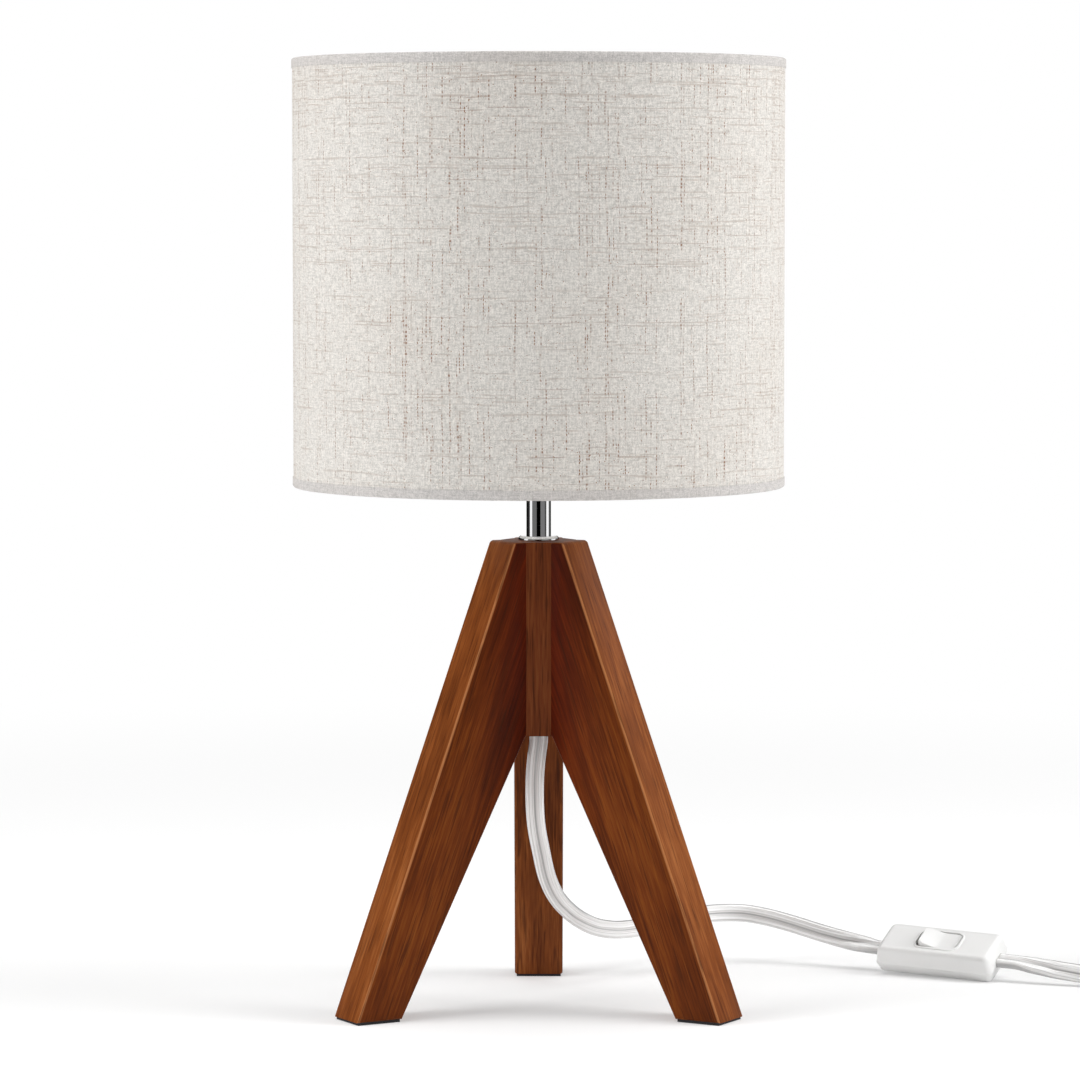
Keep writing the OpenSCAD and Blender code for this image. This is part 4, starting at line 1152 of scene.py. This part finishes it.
opal_globe = turned(
    "opal_globe",
    arc((0, GLOBE_Z + SEAT), BULB_R, 90, GLOBE_START, 40)
    + arc((0, GLOBE_Z + SEAT), BULB_R - BULB_WALL, GLOBE_START, 90, 40),
    steps=128, closed=False,
)
flared_housing = turned(
    "flared_housing",
    [(0, HOUSING_LOW)] + [flare(i / FLARE_STEPS) for i in range(FLARE_STEPS + 1)]
    + [flare(i / FLARE_STEPS, BULB_WALL) for i in range(FLARE_STEPS, FLOOR_STEP + 1, -1)]
    + [(flare(FLOOR_STEP / FLARE_STEPS, BULB_WALL)[0], HOUSING_FLOOR), (0, HOUSING_FLOOR)],
    steps=128, closed=False,
)
dress(opal_globe, OPAL, body="bulb", replaces=["bulb_globe"])
dress(flared_housing, WHITE_PLASTIC, body="bulb", replaces=["bulb_housing"])


# %% [markdown]
# ## What the CAD model already has right
#
# The holder, the wire frame, the bulb's cap and the fixings have their true shape in the CAD model,
# so they only get their finishes. Bare metals have fine brushing, and the pads are matt rubber.

# %% Finishes for the CAD pieces
def bare_metal(name, colour, roughness, stretch):
    f = Finish(name, Metallic=1.0)
    brushed = f.noise(f.stretch(f.place(), stretch), detail=3, roughness=0.7)
    tarnish = f.noise(f.place(), scale=120, detail=3).clamp(0.35, 0.75)
    tone = f.mix(tarnish, colour, times(0.78, colour))
    normal = f.bump(brushed, 0.01 * MM, 0.4)
    return f.set(Base_Color=tone, Roughness=roughness + 0.18 * brushed, Normal=normal)


def rubber(name, colour):
    f = Finish(name, IOR=1.5)
    crumbs = f.noise(f.place(), scale=2200, detail=3)
    tone = f.mix(crumbs, colour, tuple(2.2 * c + 0.01 for c in colour))
    normal = f.bump(crumbs, 0.1 * MM, 0.5)
    return f.set(Base_Color=tone, Roughness=0.8 + 0.15 * crumbs, Normal=normal)


BRASS = bare_metal("brass", (0.72, 0.55, 0.27), 0.22, (60, 60, 900))
STEEL = bare_metal("steel", (0.58, 0.59, 0.61), 0.28, (500, 500, 90))
CAP_METAL = bare_metal("cap_metal", (0.72, 0.72, 0.73), 0.2, (60, 60, 900))
PIN_METAL = bare_metal("pin_metal", (0.74, 0.72, 0.64), 0.18, (700, 60, 700))
RUBBER = rubber("felt", (0.012, 0.012, 0.013))
BEECH = stained_wood(
    "beech", lambda f: f.place((0, 90, 0)),
    srgb(176, 140, 100), srgb(205, 172, 130), srgb(222, 194, 154),
)
for material, nodes in (
    (RUBBER, ("foot_pad_left", "foot_pad_right", "foot_pad_back", "cord_tie")),
    (BEECH, ("leg_dowels",)),
    (STEEL, ("pocket_washer", "pocket_nut", "switch_screws")),
    (WHITE_PLASTIC, ("pipe_bushing", "holder_cap", "holder_skirt", "clamp_ring")),
    (MILKY_PVC, ("stem_cord", "switch_leads", "plug_body", "plug_relief")),
    (BRASS, ("screw_shell", "centre_contact", "terminal_screws", "switch_contacts")),
    (WHITE_WIRE, ("top_wire_ring", "bottom_wire_ring", "frame_arms", "frame_plate")),
    (CERAMIC, ("holder_insert",)), (LINING, ("shade_lining",)), (CAP_METAL, ("bulb_cap",)),
    (BLACK_GLASS, ("bulb_tip",)), (BOARD, ("led_board",)), (PIN_METAL, ("plug_pins",)),
):
    for node in nodes:
        dress(node, material)


# %% [markdown]
# ## The cord's length
#
# The two stretches of cord and the switch are added up, and their length is printed.

print("cord in all", round(upper_length + lower_length + SWITCH_L * MM, 3), "m with the switch")


# %% [markdown]
# ## The studio
#
# A white table under large soft lamps from both sides and from above. The front is the darkest
# side, so the drum is brightest towards its two edges. The table is white to the camera and keeps
# the lamp's soft shadow. Cards that only reflections see stand round the set: they draw the dark
# and light bands on the chrome.

# %% Table and world
TABLE_SIZE, GLOW_FROM, GLOW_TO, GLOW_LEAST, AMBIENT = 16, 0.35, 1.2, 0.3, 0.25


def unpainted(name):
    """A new material that has no shader yet, and its nodes."""
    material = bpy.data.materials.new(name)
    material.use_nodes = True
    n = Nodes(material.node_tree)
    n.tree.nodes.remove(n.tree.nodes["Principled BSDF"])
    return material, n


def background_rays(n):
    """1 for the rays that see the background: the camera's, and those in metal and in glass."""
    camera_ray, metal_ray, glass_ray = (
        n.node("ShaderNodeLightPath", out=f"Is {kind} Ray")
        for kind in ("Camera", "Glossy", "Transmission")
    )
    return camera_ray.do("MAXIMUM", metal_ray).do("MAXIMUM", glass_ray)


bpy.ops.mesh.primitive_plane_add(size=TABLE_SIZE, location=(0, 0, 0))
table = start("table")
white_table, n = unpainted("white_table")
at = n.node("ShaderNodeTexCoord", out="Object")
distance = n.node("ShaderNodeVectorMath", {"operation": "LENGTH"}, {0: at}, out="Value")
far = n.node(
    "ShaderNodeMapRange", {"interpolation_type": "SMOOTHSTEP"},
    {0: distance, 1: GLOW_FROM, 2: GLOW_TO, 3: GLOW_LEAST, 4: 1.0},
)
lit = n.node("ShaderNodeBsdfDiffuse", None, {"Color": (0.96, 0.96, 0.96)})
glow = n.node("ShaderNodeEmission")
n.show(n.node("ShaderNodeMixShader", None, {0: background_rays(n) * far, 1: lit, 2: glow}))
table.data.materials.append(white_table)

world = bpy.data.worlds.new("studio")
bpy.context.scene.world = world
world.use_nodes = True
n = Nodes(world.node_tree)
backdrop = n.tree.nodes["Background"]
backdrop.inputs["Color"].default_value = (1, 1, 1, 1)
white = Wire(n, backdrop.outputs[0])
ambient = n.node("ShaderNodeBackground", None, {"Strength": AMBIENT})
n.show(n.node("ShaderNodeMixShader", None, {0: background_rays(n), 1: ambient, 2: white}))


# %% Lamps and cards
AIM, CARD_TOP = (0, 0, 0.2), 1.5


def soft_lamp(name, place, size, power):
    """A large lamp that looks at the drum's lower edge."""
    bpy.ops.object.light_add(type="AREA", location=place)
    lamp = bpy.context.active_object
    lamp.name = name
    lamp.data.shape, lamp.data.size, lamp.data.size_y = "RECTANGLE", *size
    lamp.data.energy = power
    lamp.rotation_euler = (Vector(AIM) - Vector(place)).to_track_quat("-Z", "Y").to_euler()
    return lamp


def around(degrees, distance):
    """A place round the lamp: 0 is towards the camera, and 90 is to the right."""
    turn = math.radians(degrees)
    return distance * math.sin(turn), -distance * math.cos(turn)


for name, degrees, power in (("left_lamp", -68, 28), ("right_lamp", 78, 31)):
    lamp = soft_lamp(name, (*around(degrees, 1.8), 0.9), (1.0, 1.6), power)
    lamp.visible_glossy = False
soft_lamp("top_lamp", (0, 0.05, 2.2), (2.0, 1.6), 26)


def card(name, first, last, shade, distance=1.5, low=0.0):
    """An upright card that only reflections see, between two directions round the lamp."""
    height = CARD_TOP - low
    width = 2 * distance * math.tan(math.radians(last - first) / 2)
    place = (*around((first + last) / 2, distance), low + height / 2)
    bpy.ops.mesh.primitive_plane_add(size=1)
    piece = bpy.context.active_object
    piece.name = name
    piece.scale = (width, height, 1)
    piece.location = place
    piece.rotation_euler = Vector((-place[0], -place[1], 0)).to_track_quat("Z", "Y").to_euler()
    settle(piece)
    paint, n = unpainted(name + "_paint")
    n.show(n.node("ShaderNodeEmission", None, {"Color": (shade, shade, shade)}))
    piece.data.materials.append(paint)
    piece.visible_camera = piece.visible_diffuse = piece.visible_shadow = False
    piece.visible_transmission = False


for name, first, last, shade in (
    ("black_card", -19, 17, 0.0), ("left_grey_card", -64, -19, 0.17),
    ("left_white_card", -91, -64, 1.1), ("left_dim_card", -115, -91, 0.03),
    ("left_dark_card", -178, -115, 0.01), ("right_grey_card", 17, 60, 0.21),
    ("right_gap_card", 60, 77, 0.07), ("right_white_card", 77, 110, 1.1),
    ("right_dim_card", 110, 124, 0.15), ("right_dark_card", 124, 178, 0.02),
):
    card(name, first, last, shade)
card("sheen_card", 104, 146, 1.6, distance=1.4, low=0.45)
bpy.context.scene.view_settings.view_transform = "Standard"
